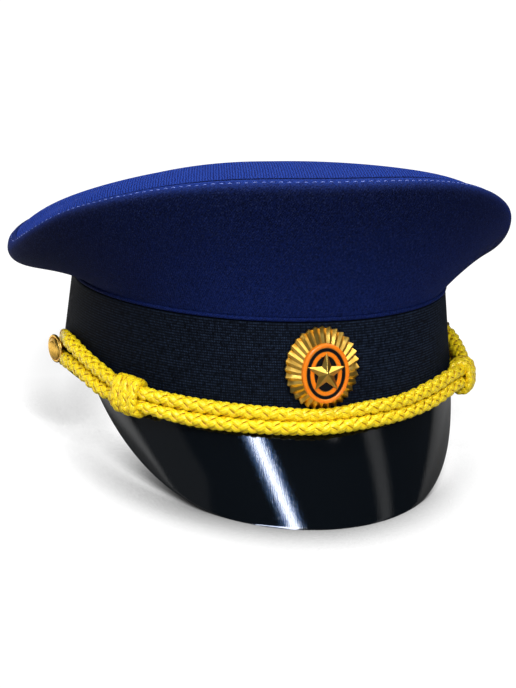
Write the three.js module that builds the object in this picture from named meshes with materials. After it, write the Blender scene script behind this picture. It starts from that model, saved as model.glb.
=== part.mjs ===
// A peaked uniform cap with a doubled gold chin cord and an oval cockade, resting on a flat surface.
// Millimetres, +Z up. Angles run round the cap in degrees, 0 at the front (-Y), positive towards +X.
import * as THREE from 'three';

// Band: a slightly conical oval ring
const bandHeight = 41.5;
const bandLow = { halfWidth: 90, halfLength: 107 };
const bandTop = { halfWidth: 85.4, halfLength: 104.2 };
const bandWall = 2.5;

// Piping in the seam between band and crown
const pipingRadius = 0.9;
const pipingSink = 0.4;
const seamGap = 0.3;

// Crown: the oval of its widest edge, and how the wall climbs to it at each station round the cap.
// rise is the edge's height above the seam, lean the wall's slope off the vertical where it starts, rounding
// how far below the edge it turns upright, rollIn and rollUp how the edge rolls over to the top seam, and
// squareness how boxy that roll is, 2 being a plain oval.
const crownEdge = { halfWidth: 115.6, frontLength: 122, rearLength: 129 };
const crownStations = [
  { angle: 0, rise: 54, lean: 15, rounding: 11, rollIn: 8.5, rollUp: 7.4, squareness: 2.8 },
  { angle: 30, rise: 51, lean: 24, rounding: 11, rollIn: 9, rollUp: 7.4, squareness: 2.8 },
  { angle: 60, rise: 36.3, lean: 40, rounding: 11, rollIn: 10, rollUp: 7.4, squareness: 2.4 },
  { angle: 90, rise: 12, lean: 62, rounding: 11, rollIn: 4, rollUp: 6, squareness: 2 },
  { angle: 105, rise: 8.8, lean: 73, rounding: 7, rollIn: 4, rollUp: 6.6, squareness: 2 },
  { angle: 120, rise: 8.3, lean: 72, rounding: 4, rollIn: 4, rollUp: 7, squareness: 2 },
  { angle: 150, rise: 9.8, lean: 67, rounding: 4, rollIn: 4, rollUp: 7, squareness: 2 },
  { angle: 180, rise: 11.4, lean: 67, rounding: 4, rollIn: 4, rollUp: 7, squareness: 2 },
];
const clothWall = 2;
const wallStart = 0.22;
const topDoming = 9.6;
const topShoulder = { rise: 6, power: 10 };

// Peak: a steep curved shell under the band's front, its length tapering to the ends
const peakSpan = 69;
const peakLength = 46;
const peakSlope = 67.7;
const peakTaper = { power: 3, exponent: 0.87 };
const peakInturn = 0.08;
const peakBulge = 1;
const peakWall = 2;
const peakEndLength = 1.2;

// Rest: how far the peak's edge and the band's rear edge are pressed flat
const restPress = 0.8;

// Chin cord: one braided loop round both buttons. upper and lower are the strands' heights on the band.
const cordDiameter = 6.2;
const cordGap = 0.4;
const cordUnderButton = 2.6;
const cordStations = [
  { angle: -88, upper: 15.3, lower: 5.5 },
  { angle: -82, upper: 15.8, lower: 7 },
  { angle: -73, upper: 13.4, lower: 6.2 },
  { angle: -62, upper: 9.8, lower: 2.8 },
  { angle: -54, upper: 7.6, lower: 1.9 },
  { angle: -46, upper: 6.5, lower: 0.8 },
  { angle: -32, upper: 4.5, lower: -1.5 },
  { angle: -15, upper: 3.7, lower: -2 },
  { angle: 0, upper: 2.8, lower: -2.1 },
  { angle: 12, upper: 4.5, lower: -1.2 },
  { angle: 24, upper: 4.9, lower: -0.6 },
  { angle: 38, upper: 6.9, lower: 0.8 },
  { angle: 50, upper: 9.1, lower: 3.6 },
  { angle: 58, upper: 7.5, lower: 2.1 },
  { angle: 66, upper: 8.5, lower: 2.1 },
  { angle: 82, upper: 13.4, lower: 4 },
  { angle: 88, upper: 15, lower: 4.6 },
];
const strandGap = 0.3;
const cockadeLift = { height: 1.3, full: 10, none: 28 };
const knotAngles = { left: -51, right: 58 };
const knot = { length: 15.6, wallBack: 1.1, wallFront: 2.3, wraps: 3, ridge: 1.1, slack: 1.45, taper: 0.12 };
const knotSlot = 1.6;
const knotLift = 2.8;
const knotReach = { full: 10, none: 26 };
const knotTurn = 4;

// Buttons on the band's sides
const buttonAngle = 90;
const buttonHeight = 9.8;
const button = { radius: 6.6, rim: 1.5, rimWidth: 1, bevel: 0.4, dome: 1.6, shankRadius: 1.1 };
const buttonTurn = { yaw: 13, pitch: 9, lift: 1.9 };
const buttonLoopRadius = 5.5;

// Cockade on the band's front
const cockadeHeight = 22.3;
const rays = { halfWidth: 16.4, halfHeight: 18.1, count: 32, notch: 0.06 };
const rayRise = { edge: 0.9, crest: 5.6, groove: 1.1 };
const rayRings = [
  { part: 1, depth: 1 },
  { part: 0.92, depth: 1 },
  { part: 0.79, depth: 0.9 },
  { part: 0.6, depth: 0.5 },
];
const raySeat = { part: 0.9, depth: 0.6 };
const plaque = { halfWidth: 10.3, halfHeight: 12.8, thick: 2.4, recess: 0.9, rim: 2, bevel: 0.6, drop: 1.4 };
const star = { reach: 7.7, waist: 0.42, stretch: 1.12, height: 1.9, rim: 0.4, tip: 0.02, drop: 1.1 };
const trimGap = 0.3;

// Facets
const facets = { around: 60, wall: 8, roll: 5, piping: 6, peakRound: 44, peakDown: 6 };
const cordFacets = { sides: 8, steps: 84 };
const trimFacets = { knotRound: 16, knotAlong: 10, button: 16, dome: 5, oval: 40 };

const seamHeight = bandHeight + 2 * (pipingRadius + seamGap);
const radians = THREE.MathUtils.degToRad;
const range = (count) => Array.from({ length: count }, (_, i) => i);
const turns = range(facets.around).map((i) => (i / facets.around) * 360 - 180);

// A point of an oval seen from above
function oval(halfWidth, halfLength, angle) {
  const turn = radians(angle);
  return new THREE.Vector3(halfWidth * Math.sin(turn), -halfLength * Math.cos(turn), 0);
}

// The outward direction of the same oval
function outward(halfWidth, halfLength, angle) {
  const turn = radians(angle);
  return new THREE.Vector3(Math.sin(turn) / halfWidth, -Math.cos(turn) / halfLength, 0).normalize();
}

// A point on the band's outside at a height, and moved outwards by a distance
function onBand(angle, height, distance) {
  const part = height / bandHeight;
  const halfWidth = THREE.MathUtils.lerp(bandLow.halfWidth, bandTop.halfWidth, part);
  const halfLength = THREE.MathUtils.lerp(bandLow.halfLength, bandTop.halfLength, part);
  const point = oval(halfWidth, halfLength, angle);
  point.addScaledVector(outward(halfWidth, halfLength, angle), distance);
  point.z = height;
  return point;
}

const offBand = (angle) => outward(bandLow.halfWidth, bandLow.halfLength, angle);

// A smooth curve through one column of a table whose rows are sorted by angle
function smooth(rows, column, angle) {
  const last = rows.length - 1;
  const found = rows.findIndex((row) => row.angle > angle);
  const i = found < 0 ? last - 1 : Math.max(found - 1, 0);
  const [low, high] = [rows[i], rows[i + 1]];
  const span = high.angle - low.angle;
  const at = (angle - low.angle) / span;
  const slope = (k) => {
    if (k === 0 || k === last) {
      return 0;
    }
    return (rows[k + 1][column] - rows[k - 1][column]) / (rows[k + 1].angle - rows[k - 1].angle);
  };
  const square = at * at;
  const cube = square * at;
  return (2 * cube - 3 * square + 1) * low[column]
    + (cube - 2 * square + at) * span * slope(i)
    + (3 * square - 2 * cube) * high[column]
    + (cube - square) * span * slope(i + 1);
}

// A closed surface through rings of equally many points. Joined rings close on the first ring,
// and otherwise a fan closes each end. The faces are turned to point outwards.
function skin(rings, joined) {
  const count = rings[0].length;
  const points = rings.flat();
  const index = [];
  const spans = joined ? rings.length : rings.length - 1;
  for (let i = 0; i < spans; i++) {
    const here = i * count;
    const next = ((i + 1) % rings.length) * count;
    for (let j = 0; j < count; j++) {
      const k = (j + 1) % count;
      index.push(here + j, next + j, here + k, here + k, next + j, next + k);
    }
  }
  if (!joined) {
    const first = points.length;
    for (const ring of [rings[0], rings[rings.length - 1]]) {
      const middle = ring.reduce((sum, p) => sum.add(p), new THREE.Vector3());
      points.push(middle.divideScalar(count));
    }
    const end = (rings.length - 1) * count;
    for (let j = 0; j < count; j++) {
      const k = (j + 1) % count;
      index.push(first, j, k, first + 1, end + k, end + j);
    }
  }
  let volume = 0;
  for (let i = 0; i < index.length; i += 3) {
    const [a, b, c] = [points[index[i]], points[index[i + 1]], points[index[i + 2]]];
    volume += a.dot(b.clone().cross(c));
  }
  if (volume < 0) {
    index.reverse();
  }
  const geometry = new THREE.BufferGeometry().setFromPoints(points);
  geometry.setIndex(index);
  geometry.computeVertexNormals();
  return geometry;
}

function piece(name, geometry, material) {
  const mesh = new THREE.Mesh(geometry, material);
  mesh.name = name;
  return mesh;
}

function finish(color, roughness, metalness) {
  return new THREE.MeshStandardMaterial({ color, roughness, metalness });
}

const wool = finish(0x1b2a6b, 0.9, 0);
const ribbon = finish(0x10131f, 0.8, 0);
const patent = finish(0x07080b, 0.12, 0);
const goldBraid = finish(0xf2c91b, 0.55, 0);
const gilt = finish(0xd9a93f, 0.3, 1);
const enamel = finish(0xe06a1c, 0.25, 0);

// Peak: its lower edge sets how the cap leans back at rest
const peakLengthAt = (angle) => {
  const part = Math.abs(angle) / peakSpan;
  const tapered = peakLength * Math.max(1 - part ** peakTaper.power, 0) ** peakTaper.exponent;
  return Math.max(tapered, peakEndLength);
};

function onPeak(angle, part, inset) {
  const length = peakLengthAt(angle);
  const fall = new THREE.Vector3(
    -peakInturn * Math.sin(radians(angle)),
    -Math.cos(radians(peakSlope)),
    -Math.sin(radians(peakSlope)),
  ).normalize();
  const bulge = peakBulge * (length / peakLength) * 4 * part * (1 - part);
  const point = onBand(angle, 0, bulge - seamGap - inset);
  point.z -= seamGap;
  return point.addScaledVector(fall, part * length);
}

const frontEdge = onPeak(0, 1, 0);
const restTilt = Math.atan2(frontEdge.z, bandLow.halfLength - frontEdge.y);
const floorNormal = new THREE.Vector3(0, 0, 1).applyAxisAngle(new THREE.Vector3(1, 0, 0), -restTilt);
const floorLevel = floorNormal.dot(new THREE.Vector3(0, bandLow.halfLength, 0)) + restPress;

// Whatever would sink below the surface that the cap rests on is pressed flat onto it
function pressedFlat(point) {
  const depth = floorLevel - floorNormal.dot(point);
  return depth > 0 ? point.addScaledVector(floorNormal, depth) : point;
}

function makePeak() {
  const parts = range(facets.peakDown + 1).map((i) => i / facets.peakDown);
  const rings = range(facets.peakRound + 1).map((i) => {
    const angle = (i / facets.peakRound * 2 - 1) * peakSpan;
    const outside = parts.map((part) => pressedFlat(onPeak(angle, part, 0)));
    const inside = parts.map((part) => pressedFlat(onPeak(angle, part, peakWall)));
    return [...outside, ...inside.reverse()];
  });
  return piece('peak', skin(rings, false), patent);
}

function makeBand() {
  const rings = turns.map((angle) => [
    pressedFlat(onBand(angle, 0, 0)),
    onBand(angle, bandHeight / 2, 0),
    onBand(angle, bandHeight, 0),
    onBand(angle, bandHeight, -bandWall),
    onBand(angle, bandHeight / 2, -bandWall),
    pressedFlat(onBand(angle, 0, -bandWall)),
  ]);
  return piece('band', skin(rings, true), ribbon);
}

function makePiping() {
  const centre = bandHeight + seamGap + pipingRadius;
  const sides = range(facets.piping).map((i) => (i / facets.piping) * 2 * Math.PI);
  const rings = turns.map((angle) => sides.map((side) => {
    const point = onBand(angle, bandHeight, pipingRadius * (Math.cos(side) - pipingSink));
    point.z = centre + pipingRadius * Math.sin(side);
    return point;
  }));
  return piece('piping', skin(rings, true), wool);
}

// The crown wall's section at one angle: where it starts, which way it flares, how far and how high
function crownSection(angle) {
  const start = oval(bandTop.halfWidth, bandTop.halfLength, angle);
  const ahead = Math.abs(angle) < 90;
  const edge = oval(crownEdge.halfWidth, ahead ? crownEdge.frontLength : crownEdge.rearLength, angle);
  const flare = edge.clone().sub(start);
  const reach = flare.length();
  const column = (name) => smooth(crownStations, name, Math.abs(angle));
  return {
    start,
    flare: flare.divideScalar(reach),
    reach,
    rise: column('rise'),
    lean: radians(column('lean')),
    rounding: column('rounding'),
    rollIn: column('rollIn'),
    rollUp: column('rollUp'),
    squareness: column('squareness'),
  };
}

const placed = (section, across, up) => {
  const point = section.start.clone().addScaledVector(section.flare, across);
  point.z = seamHeight + up;
  return point;
};

// The outside line of that section: a flaring curve to the widest edge, then a squarish roll over it to
// the top seam
function crownProfile(section) {
  const { reach, rise, lean, rounding, rollIn, rollUp, squareness } = section;
  const handle = wallStart * Math.hypot(reach, rise);
  const flareCurve = new THREE.CubicBezierCurve(
    new THREE.Vector2(0, 0),
    new THREE.Vector2(handle * Math.sin(lean), handle * Math.cos(lean)),
    new THREE.Vector2(reach, rise - rounding),
    new THREE.Vector2(reach, rise),
  );
  const roll = range(facets.roll).map((i) => {
    const turn = ((i + 1) / facets.roll) * Math.PI / 2;
    const [c, s] = [Math.cos(turn), Math.sin(turn)].map((v) => Math.max(v, 0) ** (2 / squareness));
    return new THREE.Vector2(reach - rollIn * (1 - c), rise + rollUp * s);
  });
  return [...flareCurve.getPoints(facets.wall), ...roll];
}

// The same line moved inwards by the cloth's thickness
function insideLine(line) {
  return line.map((point, i) => {
    const before = line[Math.max(i - 1, 0)];
    const after = line[Math.min(i + 1, line.length - 1)];
    const along = after.clone().sub(before).normalize();
    return new THREE.Vector2(point.x - along.y * clothWall, point.y + along.x * clothWall);
  });
}

function makeCrownWall() {
  const rings = turns.map((angle) => {
    const section = crownSection(angle);
    const outside = crownProfile(section);
    const inside = insideLine(outside);
    inside[inside.length - 1].set(outside[outside.length - 1].x, outside[outside.length - 1].y - clothWall);
    return [...outside, ...inside.reverse()].map((p) => placed(section, p.x, p.y));
  });
  return piece('crown_wall', skin(rings, true), wool);
}

// The top panel hangs between the seam's points: a plane from front to rear, eased onto the seam, domed,
// and fuller near its edge at the sides
function makeCrownTop() {
  const seamPoint = (angle) => {
    const section = crownSection(angle);
    return placed(section, section.reach - section.rollIn - seamGap, section.rise + section.rollUp);
  };
  const seam = turns.map(seamPoint);
  const [front, rear] = [seamPoint(0), seamPoint(180)];
  const middle = front.clone().add(rear).divideScalar(2);
  const pitch = (front.z - rear.z) / (front.y - rear.y);
  const plane = (y) => middle.z + pitch * (y - middle.y);
  const ring = (part, depth) => seam.map((point, i) => {
    const spot = middle.clone().lerp(point, part);
    const eased = (point.z - plane(point.y)) * part ** 2;
    const fullness = Math.sin(radians(turns[i])) ** 2 * part ** 2 * (1 - part ** topShoulder.power);
    spot.z = plane(spot.y) + eased + topDoming * (1 - part ** 2) + topShoulder.rise * fullness - depth;
    return spot;
  });
  const parts = [0.06, 0.34, 0.6, 0.8, 0.92, 1];
  const above = parts.map((part) => ring(part, 0));
  const below = parts.map((part) => ring(part, clothWall));
  return piece('crown_top', skin([...above, ...below.reverse()], false), wool);
}

// How far along the band two angles lie apart, near enough for short distances
function alongBand(from, to) {
  return onBand(from, 0, 0).distanceTo(onBand(to, 0, 0));
}

// A point of the cord's middle line: it stands off the band and the peak, rises at the knots and over the
// cockade's lower edge, and lies flatter under the buttons
function cordPoint(angle, height) {
  const side = Math.sign(angle) * buttonAngle;
  const fromButton = Math.hypot(alongBand(angle, side), height - buttonHeight);
  const clearOfButton = button.radius + cordDiameter / 2;
  const squeeze = THREE.MathUtils.smoothstep(fromButton, clearOfButton + 1, 2 * clearOfButton);
  const thick = THREE.MathUtils.lerp(cordUnderButton, cordDiameter, squeeze);
  const knotAngle = angle < 0 ? knotAngles.left : knotAngles.right;
  const fromKnot = alongBand(angle, knotAngle);
  const nearKnot = 1 - THREE.MathUtils.smoothstep(fromKnot, knotReach.full, knotReach.none);
  const nearCockade = 1 - THREE.MathUtils.smoothstep(alongBand(angle, 0), cockadeLift.full, cockadeLift.none);
  const stand = thick / 2 + cordGap;
  const slope = radians(peakSlope);
  const overPeak = (stand - height * Math.cos(slope)) / Math.sin(slope);
  const ahead = Math.max(Math.cos(radians(angle)), 0);
  const lift = Math.max(stand, THREE.MathUtils.lerp(stand, overPeak, ahead))
    + knotLift * nearKnot + cockadeLift.height * nearCockade;
  return { middle: onBand(angle, height, lift), out: offBand(angle), thick };
}

// The loop's route: the upper strand to +X, round that button, the lower strand back, round the other one.
// Where the strands lie closer than their thickness they are pressed narrower against each other.
function cordRoute() {
  const degree = alongBand(buttonAngle - 0.5, buttonAngle + 0.5);
  const bend = [60, 20, -20, -60].map((turn) => ({
    angle: buttonAngle + (buttonLoopRadius * Math.cos(radians(turn))) / degree,
    height: buttonHeight + buttonLoopRadius * Math.sin(radians(turn)),
  }));
  const upper = cordStations.map((row) => cordPoint(row.angle, row.upper));
  const lower = cordStations.map((row) => cordPoint(row.angle, row.lower)).reverse();
  const right = bend.map((spot) => cordPoint(spot.angle, spot.height));
  const left = [...bend].reverse().map((spot) => cordPoint(-spot.angle, spot.height));
  const last = upper.length - 1;
  upper.forEach((spot, i) => {
    const beside = lower[last - i];
    spot.wide = Math.min(spot.middle.distanceTo(beside.middle) - strandGap, cordDiameter);
    beside.wide = spot.wide;
  });
  [...right, ...left].forEach((spot) => {
    spot.wide = cordDiameter;
  });
  return [...upper, ...right, ...lower, ...left];
}

function makeCord() {
  const route = cordRoute();
  const closedCurve = (points) => new THREE.CatmullRomCurve3(points, true, 'centripetal');
  const line = closedCurve(route.map((spot) => spot.middle));
  const outs = closedCurve(route.map((spot) => spot.out));
  const sizes = closedCurve(route.map((spot) => new THREE.Vector3(spot.wide, spot.thick, 0)));
  const sides = range(cordFacets.sides).map((i) => ((i + 0.5) / cordFacets.sides) * 2 * Math.PI);
  const rings = range(cordFacets.steps).map((i) => {
    const at = line.getUtoTmapping(i / cordFacets.steps);
    const along = line.getTangent(at);
    const out = outs.getPoint(at).projectOnPlane(along).normalize();
    const across = along.clone().cross(out);
    const middle = line.getPoint(at);
    const half = sizes.getPoint(at).divideScalar(2);
    return sides.map((side) => middle.clone()
      .addScaledVector(across, Math.cos(side) * half.x)
      .addScaledVector(out, Math.sin(side) * half.y));
  });
  return piece('chin_cord', skin(rings, true), goldBraid);
}

// A wrapped sleeve round both strands: X along the cord, Y across the strands, Z off the band
function makeKnot(name, angle) {
  const strand = (column, turn) => cordPoint(turn, smooth(cordStations, column, turn)).middle;
  const [upper, lower] = [strand('upper', angle), strand('lower', angle)];
  const apart = upper.distanceTo(lower) / 2;
  const boreAcross = apart + knot.slack;
  const bore = cordDiameter / 2 + knot.slack;
  const steps = range(trimFacets.knotAlong + 1).map((i) => i / trimFacets.knotAlong);
  const rings = range(trimFacets.knotRound).map((i) => {
    const turn = (i / trimFacets.knotRound) * 2 * Math.PI;
    const [c, s] = [Math.cos(turn), Math.sin(turn)];
    const wall = THREE.MathUtils.lerp(knot.wallBack, knot.wallFront, (s + 1) / 2);
    const ring = (along, grown) => new THREE.Vector3(
      (along - 0.5) * knot.length,
      apart * THREE.MathUtils.clamp(knotSlot * c, -1, 1) + c * (boreAcross + grown),
      s * (bore + grown),
    );
    const outside = steps.map((along) => {
      const belly = Math.sin(Math.PI * THREE.MathUtils.lerp(knot.taper, 1 - knot.taper, along));
      const wrap = Math.abs(Math.sin(Math.PI * (knot.wraps * along + i / trimFacets.knotRound)));
      return ring(along, wall * belly + knot.ridge * wrap * belly * (s + 1) / 2);
    });
    return [...outside, ring(1, 0), ring(0.5, 0), ring(0, 0)];
  });
  const mesh = piece(name, skin(rings, true), goldBraid);
  const ahead = strand('upper', angle + knotTurn).add(strand('lower', angle + knotTurn));
  const behind = strand('upper', angle - knotTurn).add(strand('lower', angle - knotTurn));
  const along = ahead.sub(behind).normalize();
  const across = upper.clone().sub(lower).projectOnPlane(along).normalize();
  const out = along.clone().cross(across);
  mesh.position.copy(upper).add(lower).divideScalar(2);
  mesh.quaternion.setFromRotationMatrix(new THREE.Matrix4().makeBasis(along, across, out));
  return mesh;
}

// Places a piece whose own Z stands off the band, its Y up the band's slope, lifted and turned if asked
function seatOnBand(object, angle, height, turn = { yaw: 0, pitch: 0, lift: 0 }) {
  const foot = onBand(angle, height, 0);
  const up = onBand(angle, height + 1, 0).sub(foot).normalize();
  const side = up.clone().cross(offBand(angle)).normalize();
  const out = side.clone().cross(up);
  object.position.copy(foot).addScaledVector(out, turn.lift);
  object.quaternion.setFromRotationMatrix(new THREE.Matrix4().makeBasis(side, up, out));
  object.rotateY(radians(turn.yaw)).rotateX(radians(turn.pitch));
  return object;
}

// A domed, rimmed button on its shank, turned a little to the front and down
function makeButton(name, angle) {
  const foot = 2 * trimGap - buttonTurn.lift;
  const back = cordGap + cordUnderButton + 2 * trimGap;
  const face = back + button.rim;
  const domeRadius = button.radius - button.rimWidth;
  const dome = range(trimFacets.dome).map((i) => {
    const turn = (i / trimFacets.dome) * Math.PI / 2;
    return new THREE.Vector2(domeRadius * Math.cos(turn), face + button.dome * Math.sin(turn));
  });
  const profile = [
    new THREE.Vector2(0, foot),
    new THREE.Vector2(button.shankRadius, foot),
    new THREE.Vector2(button.shankRadius, back),
    new THREE.Vector2(button.radius - button.bevel, back),
    new THREE.Vector2(button.radius, back + button.bevel),
    new THREE.Vector2(button.radius, face),
    new THREE.Vector2(button.radius - button.bevel, face + button.bevel),
    ...dome,
    new THREE.Vector2(0, face + button.dome),
  ];
  const geometry = new THREE.LatheGeometry(profile, trimFacets.button).rotateX(Math.PI / 2);
  const yaw = -Math.sign(angle) * buttonTurn.yaw;
  return seatOnBand(piece(name, geometry, gilt), angle, buttonHeight, { ...buttonTurn, yaw });
}

// A ring of an oval in a piece's own XY plane
const flatRing = (count, halfWidth, halfHeight, level) => range(count).map((i) => {
  const turn = (i / count) * 2 * Math.PI;
  return new THREE.Vector3(halfWidth * Math.cos(turn), halfHeight * Math.sin(turn), level);
});

// A fluted oval dome: each ray is a ridge, and its grooves are cut down between the ridges
function makeRays() {
  const count = rays.count * 2;
  const seatPart = rayRings[rayRings.length - 1].part;
  const level = (part) => {
    const climb = Math.cos((part - seatPart) / (1 - seatPart) * Math.PI / 2);
    return THREE.MathUtils.lerp(rayRise.edge, rayRise.crest, Math.max(climb, 0));
  };
  const fluted = (part, depth) => range(count).map((i) => {
    const ridge = i % 2 === 0;
    const turn = (i / count) * 2 * Math.PI;
    const size = ridge ? part : part * (1 - rays.notch * depth);
    const drop = ridge ? 0 : rayRise.groove * depth;
    return new THREE.Vector3(
      rays.halfWidth * size * Math.cos(turn),
      rays.halfHeight * size * Math.sin(turn) - plaque.drop * (1 - part) / (1 - seatPart),
      trimGap + Math.max(level(part) - drop, rayRise.edge / 2),
    );
  });
  const rings = rayRings.map((row) => fluted(row.part, row.depth));
  const base = rings[0].map((p) => new THREE.Vector3(p.x, p.y, trimGap));
  const seatWidth = rays.halfWidth * seatPart * raySeat.part;
  const seatLength = rays.halfHeight * seatPart * raySeat.part;
  const seat = flatRing(count, seatWidth, seatLength, trimGap + rayRise.crest - raySeat.depth);
  seat.forEach((p) => p.setY(p.y - plaque.drop));
  return piece('cockade_rays', skin([base, ...rings, seat], false), gilt);
}

const plaqueLevel = 2 * trimGap + rayRise.crest;

// A raised oval with a rim round a shallow recess
function makePlaque() {
  const top = plaqueLevel + plaque.thick;
  const ring = (inset, level) => {
    const [halfWidth, halfHeight] = [plaque.halfWidth - inset, plaque.halfHeight - inset];
    return flatRing(trimFacets.oval, halfWidth, halfHeight, level);
  };
  const rings = [
    ring(0, plaqueLevel),
    ring(0, top - plaque.bevel),
    ring(plaque.bevel, top),
    ring(plaque.rim, top),
    ring(plaque.rim + plaque.bevel / 2, top - plaque.recess),
    ring(plaque.halfWidth / 2, top - plaque.recess),
  ];
  const mesh = piece('cockade_plaque', skin(rings, false), enamel);
  mesh.position.y = -plaque.drop;
  return mesh;
}

// A five-pointed star whose faces meet in ridges at its middle
function makeStar() {
  const level = plaqueLevel + plaque.thick - plaque.recess + trimGap;
  const outline = (height) => range(10).map((i) => {
    const turn = Math.PI / 2 + (i / 10) * 2 * Math.PI;
    const reach = star.reach * (i % 2 === 0 ? 1 : star.waist);
    return new THREE.Vector3(reach * Math.cos(turn), reach * star.stretch * Math.sin(turn), height);
  });
  const tip = outline(level + star.height).map((p) => p.multiply(new THREE.Vector3(star.tip, star.tip, 1)));
  const geometry = skin([outline(level), outline(level + star.rim), tip], false);
  const mesh = piece('cockade_star', geometry, gilt);
  mesh.position.y = -star.drop;
  return mesh;
}

const cockade = new THREE.Group();
cockade.add(makeRays(), makePlaque(), makeStar());
seatOnBand(cockade, 0, cockadeHeight);

const cap = new THREE.Group();
cap.add(makeCrownWall(), makeCrownTop(), makePiping(), makeBand(), makePeak(), makeCord(), cockade);
cap.add(makeKnot('knot_left', knotAngles.left), makeKnot('knot_right', knotAngles.right));
cap.add(makeButton('button_left', -buttonAngle), makeButton('button_right', buttonAngle));

// At rest the cap leans back onto the peak's edge and the band's rear edge, centred over the origin
cap.rotation.x = restTilt;
cap.position.z = -floorLevel;
const footprint = new THREE.Box3().setFromObject(cap, true);
cap.position.y = -(footprint.min.y + footprint.max.y) / 2;

const part = new THREE.Group();
part.add(cap);
export default part;
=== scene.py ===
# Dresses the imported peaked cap: cloth crown, ribbed band, patent peak, braided chin cord, cockade.
# The cap is worked out upright in millimetres, its front towards -Y, with angles in degrees round it
# from the front, positive towards +X. It is then laid down onto its peak, as the CAD does.
import math

import bmesh
import bpy
import numpy as np
from mathutils import Matrix


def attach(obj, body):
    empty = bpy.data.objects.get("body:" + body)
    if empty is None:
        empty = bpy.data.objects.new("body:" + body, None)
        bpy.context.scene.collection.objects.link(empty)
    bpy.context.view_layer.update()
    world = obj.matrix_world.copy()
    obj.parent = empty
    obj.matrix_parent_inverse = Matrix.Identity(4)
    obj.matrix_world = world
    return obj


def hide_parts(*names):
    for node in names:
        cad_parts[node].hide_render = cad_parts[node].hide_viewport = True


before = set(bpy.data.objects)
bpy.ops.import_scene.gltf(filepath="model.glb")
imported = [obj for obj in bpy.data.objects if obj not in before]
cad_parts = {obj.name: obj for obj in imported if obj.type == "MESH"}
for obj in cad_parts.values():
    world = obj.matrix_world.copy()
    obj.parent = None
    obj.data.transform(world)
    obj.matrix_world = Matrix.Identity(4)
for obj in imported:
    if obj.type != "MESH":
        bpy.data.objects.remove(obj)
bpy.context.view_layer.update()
print("frame loaded:", len(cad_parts), "nodes")

rest = dict(tilt=-10.5042, back=-3.6168, lift=18.7069)  # how the cap lies: degrees about X, then mm


def laidDown(points):
    # turns points about X by the tilt, moves them back and up, and gives metres
    turn = math.radians(rest["tilt"])
    x, y, z = np.moveaxis(np.asarray(points, float), -1, 0)
    rearward = y * math.cos(turn) - z * math.sin(turn) + rest["back"]
    upward = y * math.sin(turn) + z * math.cos(turn) + rest["lift"]
    return np.stack([x, rearward, upward], -1) / 1000


def pressedFlat(points):
    # a point below the floor is moved up along the floor's normal until it lies on it
    turn = math.radians(rest["tilt"])
    normal = np.array([0, math.sin(turn), math.cos(turn)])
    depth = np.maximum(-(points @ normal + rest["lift"]), 0)
    return points + depth[..., None] * normal


def unit(vectors):
    return vectors / np.linalg.norm(vectors, axis=-1, keepdims=True)


def stacked(*parts):
    # arrays stretched to one shape, side by side on a last axis
    return np.stack(np.broadcast_arrays(*parts), -1)


def blendBetween(value, low, high):
    # rises smoothly from 0 at low to 1 at high: 3t^2 - 2t^3
    t = np.clip((value - low) / (high - low), 0, 1)
    return t * t * (3 - 2 * t)


def alongTable(rows, column, angle):
    # a smooth curve through one column: Hermite cubics sloped as each row's neighbours are, level at the ends
    at = np.array([row["angle"] for row in rows], float)
    value = np.array([row[column] for row in rows], float)
    slope = np.zeros_like(value)
    slope[1:-1] = (value[2:] - value[:-2]) / (at[2:] - at[:-2])
    i = np.clip(np.searchsorted(at, angle, side="right") - 1, 0, len(at) - 2)
    span = at[i + 1] - at[i]
    t = (angle - at[i]) / span
    return ((2 * t**3 - 3 * t**2 + 1) * value[i] + (t**3 - 2 * t**2 + t) * span * slope[i]
            + (3 * t**2 - 2 * t**3) * value[i + 1] + (t**3 - t**2) * span * slope[i + 1])


def oval(halfWidth, halfLength, angle):
    # a point of an upright oval ring: half width times sine, half length times minus cosine
    turn = np.radians(angle)
    return stacked(halfWidth * np.sin(turn), -halfLength * np.cos(turn), 0.0 * turn)


def outward(halfWidth, halfLength, angle):
    # the oval's normal: the same point with each half divided instead of multiplied
    turn = np.radians(angle)
    return unit(stacked(np.sin(turn) / halfWidth, -np.cos(turn) / halfLength, 0.0 * turn))


def ringAngles(count, fine=(0.1, 0.22, 0.36, 0.55, 0.85)):
    # angles once round, with finer steps on both sides of the rear join
    rear = [side * (180 - step) for step in fine for side in (-1, 1)]
    return np.unique(np.concatenate([np.linspace(-180, 180, count, endpoint=False), rear]))


def gridQuads(rows, columns, closeRows, closeColumns):
    # corners of each cell of a grid, as row and column numbers that run one past a closed edge
    i, j = np.meshgrid(np.arange(rows if closeRows else rows - 1),
                       np.arange(columns if closeColumns else columns - 1), indexing="ij")
    return (np.stack([i, i, i + 1, i + 1], -1).reshape(-1, 4),
            np.stack([j, j + 1, j + 1, j], -1).reshape(-1, 4))


def gridMesh(points, uv, closeRows=False, closeColumns=False):
    # vertices, quads and corner uvs of a grid; uv has one more row or column where the grid closes
    rows, columns = points.shape[:2]
    i, j = gridQuads(rows, columns, closeRows, closeColumns)
    return points.reshape(-1, 3), ((i % rows) * columns + j % columns).tolist(), uv[i, j].reshape(-1, 2)


def closedEnd(values, axis=0):
    # repeats the first entry after the last, for the uv of a closed grid
    return np.concatenate([values, np.take(values, [0], axis)], axis)


def endFaces(rows, columns):
    # one face over each end of a tube of rings
    return [list(range(columns))[::-1], list(range((rows - 1) * columns, rows * columns))]


def endFans(first, rows, columns):
    # triangles from each end ring to its middle, which are the vertices first and first + 1
    here, last = np.arange(columns), (rows - 1) * columns
    after = (here + 1) % columns
    return np.concatenate([stacked(first, after, here),
                           stacked(first + 1, last + here, last + after)]).tolist()


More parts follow.
